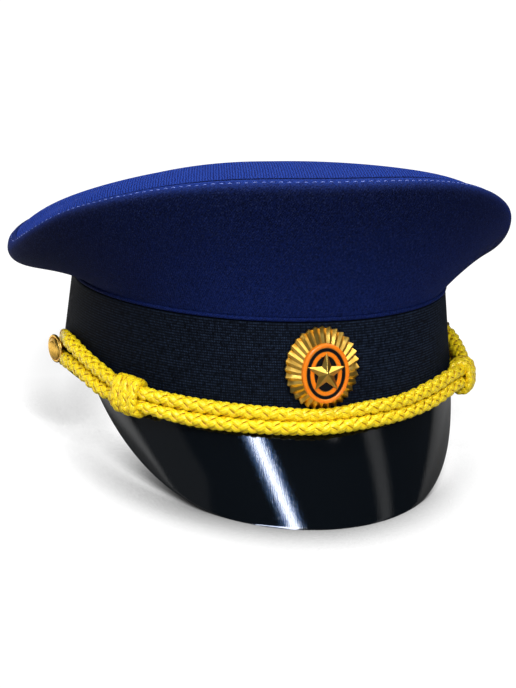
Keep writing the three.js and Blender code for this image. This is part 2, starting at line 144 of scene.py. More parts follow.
def joined(parts):
    # several meshes as one
    points, faces, uvs, first = [], [], [], 0
    for somePoints, someFaces, someUv in parts:
        points.append(somePoints)
        faces += [[first + k for k in face] for face in someFaces]
        uvs.append(someUv)
        first += len(somePoints)
    return np.concatenate(points), faces, np.concatenate(uvs)


def addPiece(name, parts, material, replaced=(), sharpAngle=None, placed=laidDown):
    # one mesh object at the origin, faces outwards, that rides on the part and stands for CAD nodes
    points, faces, uv = parts
    mesh = bpy.data.meshes.new(name)
    mesh.from_pydata(placed(points).tolist(), [], faces)
    mesh.uv_layers.new(name="surfaceMm").data.foreach_set("uv", uv.astype(np.float32).ravel())
    shell = bmesh.new()
    shell.from_mesh(mesh)
    if shell.calc_volume(signed=True) < 0:
        bmesh.ops.reverse_faces(shell, faces=shell.faces[:])
        shell.to_mesh(mesh)
    shell.free()
    mesh.shade_smooth()
    if sharpAngle:
        mesh.set_sharp_from_angle(angle=math.radians(sharpAngle))
    mesh.materials.append(material)
    piece = bpy.data.objects.new(name, mesh)
    bpy.context.scene.collection.objects.link(piece)
    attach(piece, "root")
    if replaced:
        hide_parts(*replaced)
    print("made", name, "with", len(faces), "faces")
    return piece


# Camera, at the photograph's angle: fitted in the upright cap's frame, in degrees, mm and pixels
cameraFit = dict(azimuth=-15.529, elevation=12.898, roll=1.642, distance=1000.0, focalPixels=2148.0,
                 aimHeight=60.0, slideAcross=-0.078, slideUp=-50.289, imageLongSide=688, sensorMm=36.0)


def facingAxes(row):
    # right, up and back of what faces the cap from an azimuth and elevation, turned by a roll about its axis
    azimuth, elevation, roll = (math.radians(row[k]) for k in ("azimuth", "elevation", "roll"))
    back = np.array([math.sin(azimuth) * math.cos(elevation), -math.cos(azimuth) * math.cos(elevation),
                     math.sin(elevation)])
    level = np.array([math.cos(azimuth), math.sin(azimuth), 0])
    upright = np.cross(back, level)
    right = level * math.cos(roll) + upright * math.sin(roll)
    up = upright * math.cos(roll) - level * math.sin(roll)
    return right, up, back


def placement(axes, spot):
    # an object's matrix from its three axes and its place
    matrix = np.eye(4)
    matrix[:3, :3] = np.stack(axes, -1)
    matrix[:3, 3] = spot
    return Matrix(matrix.tolist())


def placeCamera(fit):
    # the camera looks back along its own Z at the aim point, after the cap is laid down with it
    right, up, back = facingAxes(fit)
    aim = np.array([0, 0, fit["aimHeight"]]) + right * fit["slideAcross"] + up * fit["slideUp"]
    spot = laidDown(aim + back * fit["distance"])
    origin = laidDown(np.zeros(3))
    axes = [(laidDown(axis) - origin) * 1000 for axis in (right, up, back)]
    data = bpy.data.cameras.new("photoCamera")
    data.sensor_fit = "AUTO"
    data.sensor_width = fit["sensorMm"]
    data.lens = fit["focalPixels"] / fit["imageLongSide"] * fit["sensorMm"]
    data.clip_start, data.clip_end = 0.05, 60
    camera = bpy.data.objects.new("photoCamera", data)
    bpy.context.scene.collection.objects.link(camera)
    camera.matrix_world = placement(axes, spot)
    bpy.context.scene.camera = camera


placeCamera(cameraFit)
print("camera placed")


# Materials
def toLinear(hexColour):
    # an sRGB hex colour as linear RGBA, by the sRGB curve
    parts = [int(hexColour[k:k + 2], 16) / 255 for k in (1, 3, 5)]
    return [p / 12.92 if p <= 0.04045 else ((p + 0.055) / 1.055) ** 2.4 for p in parts] + [1.0]


def addNode(tree, kind, inputs=None, **settings):
    # one node: settings are its properties, inputs are values or the sockets that feed it
    made = tree.nodes.new(kind)
    for name, value in settings.items():
        setattr(made, name, value)
    for name, value in (inputs or {}).items():
        if isinstance(value, bpy.types.NodeSocket):
            tree.links.new(value, made.inputs[name])
        else:
            made.inputs[name].default_value = value
    return made


def newMaterial(name):
    # a material with its default shader, and the two things that every finish starts from
    material = bpy.data.materials.new(name)
    material.use_nodes = True
    tree = material.node_tree
    return material, tree, tree.nodes["Principled BSDF"]


def setShader(tree, shader, **inputs):
    # constants go straight onto the shader's sockets, sockets are linked
    for name, value in inputs.items():
        socket = shader.inputs[name.replace("_", " ")]
        if isinstance(value, bpy.types.NodeSocket):
            tree.links.new(value, socket)
        else:
            socket.default_value = value


def wavesPer(pitch):
    # the wave texture's scale for lines a pitch apart: it draws 10 / pi lines to the unit
    return math.pi / 10 / pitch


# How the cloth's tone goes over its uv, in mm: from a middle a little to +X of the front round to the sides
# and the rear, and up the wall to the stitches. It stands for the way the light falls off in the photograph.
# All of it is painted light and shade: the wall darker up to the stitches and towards the sides and rear, the
# rolled edge a brighter royal blue that fades towards the sides, and the top seam painted dark, further up at
# the sides.
clothTone = dict(middle=30.0, sideFrom=60.0, sideTo=190.0, side=0.42, lowFrom=-58.0, highTo=-6.0, low=1.05,
                 high=0.34, rollWidth=9.0, rollFrom=110.0, rollTo=190.0, roll=0.4, shiftFrom=120.0,
                 shiftTo=170.0, shift=5.0, seamShadeWidth=1.0, seamShade=0.22)


def woolTwill(name, pitch, lineTurn, lineShare, nap, paintedLightFrom, seamShadeAt=9000):
    # Worsted wool woven in twill: navy with fine diagonal lines and a speckle of paler grey-blue dots, and a
    # nap of short blue fibres that lights up where the cloth is seen along its surface. The real lines are
    # 0.6 mm apart and are drawn a little coarser, so that they show. The colour is painted lighter at the
    # wall's foot and darker up it and towards the sides and rear, painted shade; over the rolled edge, from a
    # given v of the uv on, it is painted a brighter royal blue, painted light from above; and further up it
    # is painted dark in the top seam, a painted shade.
    material, tree, shader = newMaterial(name)
    tone = clothTone
    uv = addNode(tree, "ShaderNodeUVMap", uv_map="surfaceMm").outputs["UV"]
    place = addNode(tree, "ShaderNodeTexCoord").outputs["Object"]
    turned = addNode(tree, "ShaderNodeMapping", {"Vector": uv, "Rotation": (0, 0, math.radians(lineTurn))})
    lines = addNode(tree, "ShaderNodeTexWave",
                    {"Vector": turned.outputs["Vector"], "Scale": wavesPer(pitch), "Distortion": 5.0,
                     "Detail": 2.0, "Detail Scale": 1.5}, wave_type="BANDS", bands_direction="X")
    grain = addNode(tree, "ShaderNodeTexNoise", {"Vector": place, "Scale": 1 / 0.0009, "Detail": 2.0,
                                                 "Roughness": 0.7})
    relief = addNode(tree, "ShaderNodeMix", {"Factor": 1 - lineShare, "A": lines.outputs["Fac"],
                                             "B": grain.outputs["Fac"]}, data_type="FLOAT")
    lit = addNode(tree, "ShaderNodeMapRange", {"Value": relief.outputs["Result"], "From Min": 0.3,
                                               "From Max": 0.7})
    parts = addNode(tree, "ShaderNodeSeparateXYZ", {"Vector": uv})
    climbed = parts.outputs["Y"]
    fromMiddle = addNode(tree, "ShaderNodeMath", {0: parts.outputs["X"], 1: tone["middle"]},
                         operation="SUBTRACT")
    aside = addNode(tree, "ShaderNodeMath", {0: fromMiddle.outputs["Value"]},
                    operation="ABSOLUTE").outputs["Value"]
    # painted light and shade: lighter at the middle front and the wall's foot, darker towards the sides, the
    # rear and up to the stitches
    sideTone = addNode(tree, "ShaderNodeMapRange", {"Value": aside, "From Min": tone["sideFrom"],
                                                    "From Max": tone["sideTo"], "To Min": 1.0,
                                                    "To Max": tone["side"]},
                       interpolation_type="SMOOTHSTEP")
    heightTone = addNode(tree, "ShaderNodeMapRange", {"Value": climbed, "From Min": tone["lowFrom"],
                                                      "From Max": tone["highTo"], "To Min": tone["low"],
                                                      "To Max": tone["high"]})
    falling = addNode(tree, "ShaderNodeMath",
                      {0: heightTone.outputs["Result"], 1: sideTone.outputs["Result"]}, operation="MULTIPLY")
    flat = addNode(tree, "ShaderNodeMix", {"Factor": lit.outputs["Result"], "A": toLinear("#030a28"),
                                           "B": toLinear("#12215a")}, data_type="RGBA")
    toned = addNode(tree, "ShaderNodeVectorMath", {0: flat.outputs["Result"], 3: falling.outputs["Value"]},
                    operation="SCALE")
    # painted light from above: a brighter royal blue copy of the cloth over the rolled edge and the top,
    # fading back towards the sides
    raised = addNode(tree, "ShaderNodeMix", {"Factor": lit.outputs["Result"], "A": toLinear("#030b38"),
                                             "B": toLinear("#122a6c")}, data_type="RGBA")
    over = addNode(tree, "ShaderNodeMapRange", {"Value": climbed, "From Min": paintedLightFrom,
                                                "From Max": paintedLightFrom + tone["rollWidth"]},
                   interpolation_type="SMOOTHSTEP")
    faded = addNode(tree, "ShaderNodeMapRange", {"Value": aside, "From Min": tone["rollFrom"],
                                                 "From Max": tone["rollTo"], "To Min": 1.0,
                                                 "To Max": tone["roll"]})
    rolled = addNode(tree, "ShaderNodeMath", {0: over.outputs["Result"], 1: faded.outputs["Result"]},
                     operation="MULTIPLY")
    woven = addNode(tree, "ShaderNodeMix", {"Factor": rolled.outputs["Value"], "A": toned.outputs["Vector"],
                                            "B": raised.outputs["Result"]}, data_type="RGBA")
    sidelong = addNode(tree, "ShaderNodeMapRange", {"Value": aside, "From Min": tone["shiftFrom"],
                                                    "From Max": tone["shiftTo"], "To Max": tone["shift"]})
    # painted shade in the top seam: darker past a given v, further up at the sides
    nearSeam = addNode(tree, "ShaderNodeMath", {0: climbed, 1: sidelong.outputs["Result"]},
                       operation="SUBTRACT")
    seamShade = addNode(tree, "ShaderNodeMapRange", {"Value": nearSeam.outputs["Value"], "From Min": seamShadeAt,
                                                  "From Max": seamShadeAt + tone["seamShadeWidth"], "To Min": 1.0,
                                                  "To Max": tone["seamShade"]})
    pulled = addNode(tree, "ShaderNodeVectorMath", {0: woven.outputs["Result"], 3: seamShade.outputs["Result"]},
                     operation="SCALE")
    # a speckle of paler grey-blue dots mixed into the colour
    specks = addNode(tree, "ShaderNodeTexNoise", {"Vector": place, "Scale": 1 / 0.0006, "Detail": 1.0})
    ends = addNode(tree, "ShaderNodeMapRange", {"Value": specks.outputs["Fac"], "From Min": 0.52,
                                                "From Max": 0.8, "To Max": 0.1})
    speckled = addNode(tree, "ShaderNodeMix", {"Factor": ends.outputs["Result"], "A": pulled.outputs["Vector"],
                                            "B": toLinear("#56659c")}, data_type="RGBA")
    bump = addNode(tree, "ShaderNodeBump", {"Height": relief.outputs["Result"], "Strength": 0.7,
                                            "Distance": 0.0003})
    setShader(tree, shader, Base_Color=speckled.outputs["Result"], Normal=bump.outputs["Normal"], Roughness=0.85,
              Specular_IOR_Level=0.05, Sheen_Weight=nap, Sheen_Roughness=0.35, Sheen_Tint=toLinear("#0c48dc"))
    return material


# The ribbon's weave in mm, and its tone from a middle on the band's +X side round to the rear, as the
# cloth's: painted light at the middle and painted shade to the rear
ribbonWeaveAndShade = dict(ribPitch=1.15, warpPitch=0.8, middle=75.0, nearTo=20.0, farFrom=240.0, near=1.4, far=0.32)


def ribbedRibbon(name):
    # Petersham ribbon, woven with raised weft ribs: a blue-black matt face with faint paler lines along
    # the ribs and tiny uneven dots where the warp crosses them. Its colour is painted lighter at a middle on
    # the
    # +X side and darker round to the rear, painted light and shade.
    material, tree, shader = newMaterial(name)
    weave = ribbonWeaveAndShade
    uv = addNode(tree, "ShaderNodeUVMap", uv_map="surfaceMm").outputs["UV"]
    place = addNode(tree, "ShaderNodeTexCoord").outputs["Object"]
    ribs = addNode(tree, "ShaderNodeTexWave",
                   {"Vector": uv, "Scale": wavesPer(weave["ribPitch"]), "Distortion": 0.3}, wave_type="BANDS",
                   bands_direction="Y")
    warp = addNode(tree, "ShaderNodeTexWave", {"Vector": uv, "Scale": wavesPer(weave["warpPitch"]),
                                               "Distortion": 0.9},
                   wave_type="BANDS", bands_direction="X")
    grain = addNode(tree, "ShaderNodeTexNoise", {"Vector": place, "Scale": 1 / 0.0014, "Detail": 3.0})
    patchy = addNode(tree, "ShaderNodeMapRange", {"Value": grain.outputs["Fac"], "From Min": 0.33,
                                                  "From Max": 0.67})
    dots = addNode(tree, "ShaderNodeMath", {0: ribs.outputs["Fac"], 1: warp.outputs["Fac"]},
                   operation="MULTIPLY")
    paler = addNode(tree, "ShaderNodeMath", {0: dots.outputs["Value"], 1: patchy.outputs["Result"]},
                    operation="MULTIPLY")
    # painted light and shade: lighter at a middle on the +X side, darker round to the rear
    along = addNode(tree, "ShaderNodeSeparateXYZ", {"Vector": uv}).outputs["X"]
    fromMiddle = addNode(tree, "ShaderNodeMath", {0: along, 1: weave["middle"]}, operation="SUBTRACT")
    aside = addNode(tree, "ShaderNodeMath", {0: fromMiddle.outputs["Value"]}, operation="ABSOLUTE")
    sideTone = addNode(tree, "ShaderNodeMapRange", {"Value": aside.outputs["Value"],
                                                    "From Min": weave["nearTo"], "From Max": weave["farFrom"],
                                                    "To Min": weave["near"], "To Max": weave["far"]})
    woven = addNode(tree, "ShaderNodeMix", {"Factor": paler.outputs["Value"], "A": toLinear("#05080f"),
                                            "B": toLinear("#2a374e")}, data_type="RGBA")
    toned = addNode(tree, "ShaderNodeVectorMath", {0: woven.outputs["Result"], 3: sideTone.outputs["Result"]},
                    operation="SCALE")
    bump = addNode(tree, "ShaderNodeBump", {"Height": dots.outputs["Value"], "Strength": 0.5,
                                            "Distance": 0.0002})
    setShader(tree, shader, Base_Color=toned.outputs["Vector"], Normal=bump.outputs["Normal"], Roughness=0.8,
              Specular_IOR_Level=0.05)
    return material


def patentLeather(name):
    # Patent leather: black leather under a thick poured lacquer, so it mirrors like glass. Fine lines
    # drawn down the peak when it was pressed fray the edges of a bright reflection.
    material, tree, shader = newMaterial(name)
    uv = addNode(tree, "ShaderNodeUVMap", uv_map="surfaceMm").outputs["UV"]
    stretched = addNode(tree, "ShaderNodeMapping", {"Vector": uv, "Rotation": (0, 0, math.radians(4)),
                                                    "Scale": (1 / 0.5, 1 / 7, 1)})
    drawn = addNode(tree, "ShaderNodeTexNoise", {"Vector": stretched.outputs["Vector"], "Scale": 1.0,
                                                 "Detail": 3.0, "Roughness": 0.6})
    bump = addNode(tree, "ShaderNodeBump", {"Height": drawn.outputs["Fac"], "Strength": 0.5,
                                            "Distance": 0.00004})
    setShader(tree, shader, Base_Color=toLinear("#05080c"), Roughness=0.04, Normal=bump.outputs["Normal"],
              Specular_IOR_Level=0.45)
    return material


# Braid: eight plaits, four wound each way, each over one and under the next
braidShape = dict(pitch=27.0, radius=2.95, middle=1.46, weave=0.76, halfWidth=1.62, halfHeight=1.12,
                  girth=4.4, core=1.5, stepsPerTurn=36, sides=12, uneven=0.05, slowest=0.9, fastest=2.3,
                  latest=6.28, seed=7)


def goldBraid(name):
    # Braided viscose cord: each plait is a flat bundle of satin yarn, lemon gold along its back, with painted
    # shade in ochre at its edges, where it dives under the next. Yarn lines run along it, coarser than the
    # real ones.
    material, tree, shader = newMaterial(name)
    uv = addNode(tree, "ShaderNodeUVMap", uv_map="surfaceMm").outputs["UV"]
    yarn = addNode(tree, "ShaderNodeTexWave", {"Vector": uv, "Scale": wavesPer(0.55), "Distortion": 0.8,
                                               "Detail": 1.0, "Detail Scale": 0.6},
                   wave_type="BANDS", bands_direction="Y")
    across = addNode(tree, "ShaderNodeSeparateXYZ", {"Vector": uv}).outputs["Y"]
    fromBack = addNode(tree, "ShaderNodeMath", {0: across, 1: braidShape["girth"] / 4}, operation="SUBTRACT")
    away = addNode(tree, "ShaderNodeMath", {0: fromBack.outputs["Value"]}, operation="ABSOLUTE")
    # painted shade: ochre towards the plait's edges, where it dives under the next
    edge = addNode(tree, "ShaderNodeMapRange", {"Value": away.outputs["Value"],
                                                "From Min": braidShape["girth"] * 0.15,
                                                "From Max": braidShape["girth"] * 0.26},
                   interpolation_type="SMOOTHSTEP")
    lined = addNode(tree, "ShaderNodeMix", {"Factor": yarn.outputs["Fac"], "A": toLinear("#efca06"),
                                            "B": toLinear("#fde42c")}, data_type="RGBA")
    plait = addNode(tree, "ShaderNodeMix", {"Factor": edge.outputs["Result"], "A": lined.outputs["Result"],
                                            "B": toLinear("#b98200")}, data_type="RGBA")
    bump = addNode(tree, "ShaderNodeBump", {"Height": yarn.outputs["Fac"], "Strength": 0.5,
                                            "Distance": 0.00012})
    setShader(tree, shader, Base_Color=plait.outputs["Result"], Normal=bump.outputs["Normal"], Roughness=0.3,
              Specular_IOR_Level=0.8, Specular_Tint=toLinear("#ffeeaa"))
    return material


def giltMetal(name):
    # Stamped brass with a gilt wash: warm satin gold, with a fine grain left by the die.
    material, tree, shader = newMaterial(name)
    place = addNode(tree, "ShaderNodeTexCoord").outputs["Object"]
    grain = addNode(tree, "ShaderNodeTexNoise", {"Vector": place, "Scale": 1 / 0.0006, "Detail": 3.0})
    stain = addNode(tree, "ShaderNodeTexNoise", {"Vector": place, "Scale": 1 / 0.004, "Detail": 2.0})
    tone = addNode(tree, "ShaderNodeMix", {"Factor": stain.outputs["Fac"], "A": toLinear("#d49c2c"),
                                           "B": toLinear("#eac264")}, data_type="RGBA")
    rough = addNode(tree, "ShaderNodeMapRange",
                    {"Value": grain.outputs["Fac"], "To Min": 0.26, "To Max": 0.34})
    bump = addNode(tree, "ShaderNodeBump", {"Height": grain.outputs["Fac"], "Strength": 0.1,
                                            "Distance": 0.00003})
    setShader(tree, shader, Base_Color=tone.outputs["Result"], Roughness=rough.outputs["Result"],
              Metallic=1.0, Normal=bump.outputs["Normal"])
    return material


wallCloth = woolTwill("worsted wool twill, wall", pitch=0.9, lineTurn=35, lineShare=0.15, nap=0.08,
                      paintedLightFrom=-6.5, seamShadeAt=3.4)
topCloth = woolTwill("worsted wool twill, top", pitch=1.15, lineTurn=14, lineShare=0.52, nap=0.16,
                     paintedLightFrom=-900, seamShadeAt=400)
pipingCloth = woolTwill("worsted wool twill, piping", pitch=0.9, lineTurn=40, lineShare=0.2, nap=0.08,
                        paintedLightFrom=900)
ribbon = ribbedRibbon("petersham ribbon, woven ribs")
patent = patentLeather("patent leather, lacquered")
braidGold = goldBraid("viscose braid, satin gold")
gilt = giltMetal("gilt brass, stamped")
print("materials made")


# Band: a slightly conical oval ring with woven ribs, joined at the rear
bandShape = dict(height=41.5, lowHalfWidth=90.0, lowHalfLength=107.0, topHalfWidth=85.4, topHalfLength=104.2,
                 wall=2.5, ribPitch=ribbonWeaveAndShade["ribPitch"], ribDepth=0.1, edge=0.5, joinDepth=0.5,
                 joinWidth=0.5, columns=280)


def onBand(angle, height, distance):
    # an oval whose halves shrink evenly with height, moved out along its normal by a distance
    part = height / bandShape["height"]
    halfWidth = bandShape["lowHalfWidth"] + (bandShape["topHalfWidth"] - bandShape["lowHalfWidth"]) * part
    halfLength = bandShape["lowHalfLength"] + (bandShape["topHalfLength"] - bandShape["lowHalfLength"]) * part
    normal = outward(halfWidth, halfLength, angle)
    point = oval(halfWidth, halfLength, angle) + normal * np.asarray(distance)[..., None]
    point[..., 2] = height
    return point


def offBand(angle):
    return outward(bandShape["lowHalfWidth"], bandShape["lowHalfLength"], angle)


def ringLength(halfWidth, halfLength):
    return 2 * math.pi * math.sqrt((halfWidth**2 + halfLength**2) / 2)


def rearJoin(angle, halfWidth, depth, width):
    # a groove across the rear: a bell curve of the distance round the ring from the join
    away = np.radians(180 - np.abs(angle)) * halfWidth
    return depth * np.exp(-((away / width) ** 2))


def makeBand(shape):
    # the section goes up the ribbed outside, where each rib is a cosine, and down the smooth inside
    edge, high = shape["edge"], shape["height"]
    ribs = np.arange(edge, high - edge, shape["ribPitch"] / 4)
    outer = shape["ribDepth"] * (np.cos(2 * math.pi * ribs / shape["ribPitch"]) - 1) / 2
    inner = np.array([high - edge, high * 0.66, high * 0.33, edge])
    heights = np.concatenate([[0, edge * 0.3], ribs, [high - edge * 0.3, high, high], inner, [0]])
    offsets = np.concatenate([[-edge, -edge * 0.3], outer, [-edge * 0.3, -edge, edge - shape["wall"]],
                              np.full(4, -shape["wall"]), [edge - shape["wall"]]])
    angles = ringAngles(shape["columns"])
    groove = rearJoin(angles, shape["lowHalfLength"], shape["joinDepth"], shape["joinWidth"])
    onOutside = offsets > -shape["wall"] / 2
    points = onBand(angles[:, None], heights[None, :], offsets[None, :] - groove[:, None] * onOutside)
    along = np.append(angles, 180) / 360 * ringLength(shape["lowHalfWidth"], shape["lowHalfLength"])
    uv = stacked(along[:, None], closedEnd(heights)[None, :])
    return gridMesh(pressedFlat(points), uv, True, True)


addPiece("bandRibbon", makeBand(bandShape), ribbon, ["band"])

# Piping: a thin covered cord in the seam over the band, its ends lapped at the front
pipingShape = dict(radius=0.9, sink=0.4, gap=0.3, lapAngle=1.55, lapRise=0.45, lapWidth=0.55, columns=420,
                   sides=12, uvStart=-60.0)


def makePiping(shape):
    # a ring of round section on the band's top oval, swollen by a bell curve where the ends lap; its v starts
    # where the cloth's tone, painted light and shade, is that of the wall's foot
    angles = np.unique(np.concatenate([np.linspace(-180, 180, shape["columns"], endpoint=False),
                                       shape["lapAngle"] + np.linspace(-2, 2, 33)]))
    sides = np.linspace(0, 2 * math.pi, shape["sides"], endpoint=False)
    lap = shape["lapRise"] * np.exp(-(((angles - shape["lapAngle"]) / shape["lapWidth"]) ** 2))
    radius = (shape["radius"] + lap)[:, None]
    across = radius * np.cos(sides) - shape["radius"] * shape["sink"]
    points = onBand(angles[:, None], np.full_like(across, bandShape["height"]), across)
    points[..., 2] += shape["gap"] + shape["radius"] + shape["radius"] * np.sin(sides)
    along = np.append(angles, 180) / 360 * ringLength(bandShape["topHalfWidth"], bandShape["topHalfLength"])
    around = np.append(sides, 2 * math.pi) * shape["radius"] + shape["uvStart"]
    return gridMesh(points, stacked(along[:, None], around[None, :]), True, True)


addPiece("seamPiping", makePiping(pipingShape), pipingCloth, ["piping"])

# Crown wall: flares from the band to its widest edge, then rolls over to the top seam. rise is the edge's
# height over the seam, lean the wall's slope off the vertical where it starts, rounding how far below the
# edge it turns upright, rollIn and rollUp how the edge rolls over to the top seam, squareness how boxy that
# roll is, and stitch where on it the stitches run, in degrees from the edge.
crownShape = dict(edgeHalfWidth=115.6, edgeFrontLength=122.0, edgeRearLength=129.0, wall=2.0,
                  startHandle=0.22, tuck=1.4, seamFold=0.7, seamDrop=1.6, stitchGroove=0.32,
                  stitchGrooveWidth=0.75, joinDepth=0.7, joinWidth=0.6, columns=320, wallSteps=46,
                  rollSteps=40, foldFrom=0.12, sideFold=0.15, seamMark=5.0, midHalfWidth=100,
                  midHalfLength=115)
crownStations = [
    dict(angle=0, rise=53, lean=15, rounding=11, rollIn=8.5, rollUp=7.4, squareness=2.8, stitch=62),
    dict(angle=30, rise=50, lean=24, rounding=11, rollIn=9, rollUp=7.4, squareness=2.8, stitch=62),
    dict(angle=60, rise=35.2, lean=40, rounding=11, rollIn=10, rollUp=7.2, squareness=2.2, stitch=60),
    dict(angle=90, rise=12, lean=62, rounding=11, rollIn=4, rollUp=6, squareness=2, stitch=48),
    dict(angle=105, rise=8.8, lean=73, rounding=7, rollIn=4, rollUp=6.6, squareness=2, stitch=54),
    dict(angle=120, rise=8.3, lean=72, rounding=4, rollIn=4, rollUp=7, squareness=2, stitch=54),
    dict(angle=150, rise=9.8, lean=67, rounding=4, rollIn=4, rollUp=7, squareness=2, stitch=54),
    dict(angle=180, rise=11.4, lean=67, rounding=4, rollIn=4, rollUp=7, squareness=2, stitch=54),
]
seamHeight = bandShape["height"] + 2 * (pipingShape["radius"] + pipingShape["gap"])


def crownSection(angle):
    # where the wall starts, the way it flares and how far, and each column of the stations at the angle
    start = oval(bandShape["topHalfWidth"], bandShape["topHalfLength"], angle)
    length = np.where(np.abs(angle) < 90, crownShape["edgeFrontLength"], crownShape["edgeRearLength"])
    flare = oval(crownShape["edgeHalfWidth"], length, angle) - start
    reach = np.linalg.norm(flare, axis=-1)
    columns = ("rise", "lean", "rounding", "rollIn", "rollUp", "squareness", "stitch")
    section = {column: alongTable(crownStations, column, np.abs(angle))[:, None] for column in columns}
    return dict(section, start=start[:, None], flare=(flare / reach[:, None])[:, None], reach=reach[:, None])


def onCrown(section, across, up):
    # a point of the section's plane: across along the flare, up from the seam
    point = section["start"] + section["flare"] * across[..., None]
    point[..., 2] = seamHeight + up
    return point


def rollPoint(section, turn):
    # the rolled edge is a quarter of a squarish oval: inward by 1 - cosine, upward by sine, each to a power
    power = 2 / section["squareness"]
    inward = section["rollIn"] * (1 - np.maximum(np.cos(turn), 0) ** power)
    return section["reach"] - inward, section["rise"] + section["rollUp"] * np.sin(turn) ** power


def makeCrownWall(shape):
    # a cubic Bezier from the seam to the widest edge, then the roll, with a groove along the stitch line, and
    # folds that tuck the cloth under the piping and into the top seam; the inside is the outside moved in.
    # The uv runs round the cap, and up from the stitch line, with the top seam at its mark all the way round
    angles = ringAngles(shape["columns"])
    section = crownSection(angles)
    reach, rise, lean = section["reach"], section["rise"], np.radians(section["lean"])
    handle = shape["startHandle"] * np.hypot(reach, rise)
    t = np.linspace(0, 1, shape["wallSteps"])[None, :]
    across = 3 * (1 - t)**2 * t * handle * np.sin(lean) + 3 * (1 - t) * t**2 * reach + t**3 * reach
    up = (3 * (1 - t)**2 * t * handle * np.cos(lean) + 3 * (1 - t) * t**2 * (rise - section["rounding"])
          + t**3 * rise)
    turn = np.linspace(0, math.pi / 2, shape["rollSteps"] + 1)[None, 1:]
    rollAcross, rollUp = rollPoint(section, turn)
    stitchAcross, stitchUp = rollPoint(section, np.radians(section["stitch"]))
    away = np.hypot(rollAcross - stitchAcross, rollUp - stitchUp)
    dip = shape["stitchGroove"] * np.exp(-((away / shape["stitchGrooveWidth"]) ** 2))
    frontal = np.cos(np.radians(angles[:, None])) ** 2
    fold = (shape["seamFold"] * blendBetween(np.cos(turn), shape["foldFrom"], 0.0)
            * (shape["sideFold"] + (1 - shape["sideFold"]) * frontal))
    rollAcross = rollAcross - dip * np.cos(turn)
    rollUp = rollUp - dip * np.sin(turn) - fold
    outAcross = np.concatenate([across, rollAcross], 1)
    outUp = np.concatenate([up, rollUp], 1)
    groove = rearJoin(angles, shape["edgeRearLength"], shape["joinDepth"], shape["joinWidth"])[:, None]
    alongAcross = np.gradient(outAcross, axis=1)
    alongUp = np.gradient(outUp, axis=1)
    size = np.hypot(alongAcross, alongUp)
    inwardAcross, inwardUp = -alongUp / size, alongAcross / size
    outAcross, outUp = outAcross + groove * inwardAcross, outUp + groove * inwardUp
    inAcross = outAcross + inwardAcross * shape["wall"]
    inUp = outUp + inwardUp * shape["wall"]
    tuck = np.full_like(reach, shape["tuck"])
    loopAcross = np.concatenate([-tuck, -tuck * 0.3, outAcross, outAcross[:, -1:], inAcross[:, -8::-4]], 1)
    loopUp = np.concatenate([-tuck * 0.5, -tuck * 0.35, outUp, outUp[:, -1:] - shape["seamDrop"],
                             inUp[:, -8::-4]], 1)
    points = onCrown(section, loopAcross, loopUp)
    steps = np.linalg.norm(np.diff(points, axis=1), axis=-1)
    climbed = np.concatenate([np.zeros_like(reach), np.cumsum(steps, 1), np.sum(steps, 1, keepdims=True)], 1)
    place = shape["wallSteps"] + 1 + section["stitch"] / 90 * shape["rollSteps"]
    whole = place.astype(int)
    below, above = (np.take_along_axis(climbed, whole + k, 1) for k in (0, 1))
    climbed = climbed - below - (above - below) * (place - whole)
    toSeam = climbed[:, shape["wallSteps"] + shape["rollSteps"] + 1, None]
    climbed = closedEnd(np.where(climbed > 0, climbed / toSeam * shape["seamMark"], climbed))
    along = np.append(angles, 180) / 360 * ringLength(shape["midHalfWidth"], shape["midHalfLength"])
    uv = stacked(along[:, None], climbed)
    return gridMesh(points, uv, True, True)


addPiece("crownWall", makeCrownWall(crownShape), wallCloth, ["crown_wall"])

# Crown top: a panel slung between front and rear, domed, its edge turned down into the seam
topShape = dict(doming=10.6, shoulder=6.0, shoulderPower=10, gap=0.3, wall=2.0, foldWidth=0.009, foldDrop=1.3,
                columns=240, rings=26, edgeRings=26, sideFold=0.2, foldShadeMark=900.0)


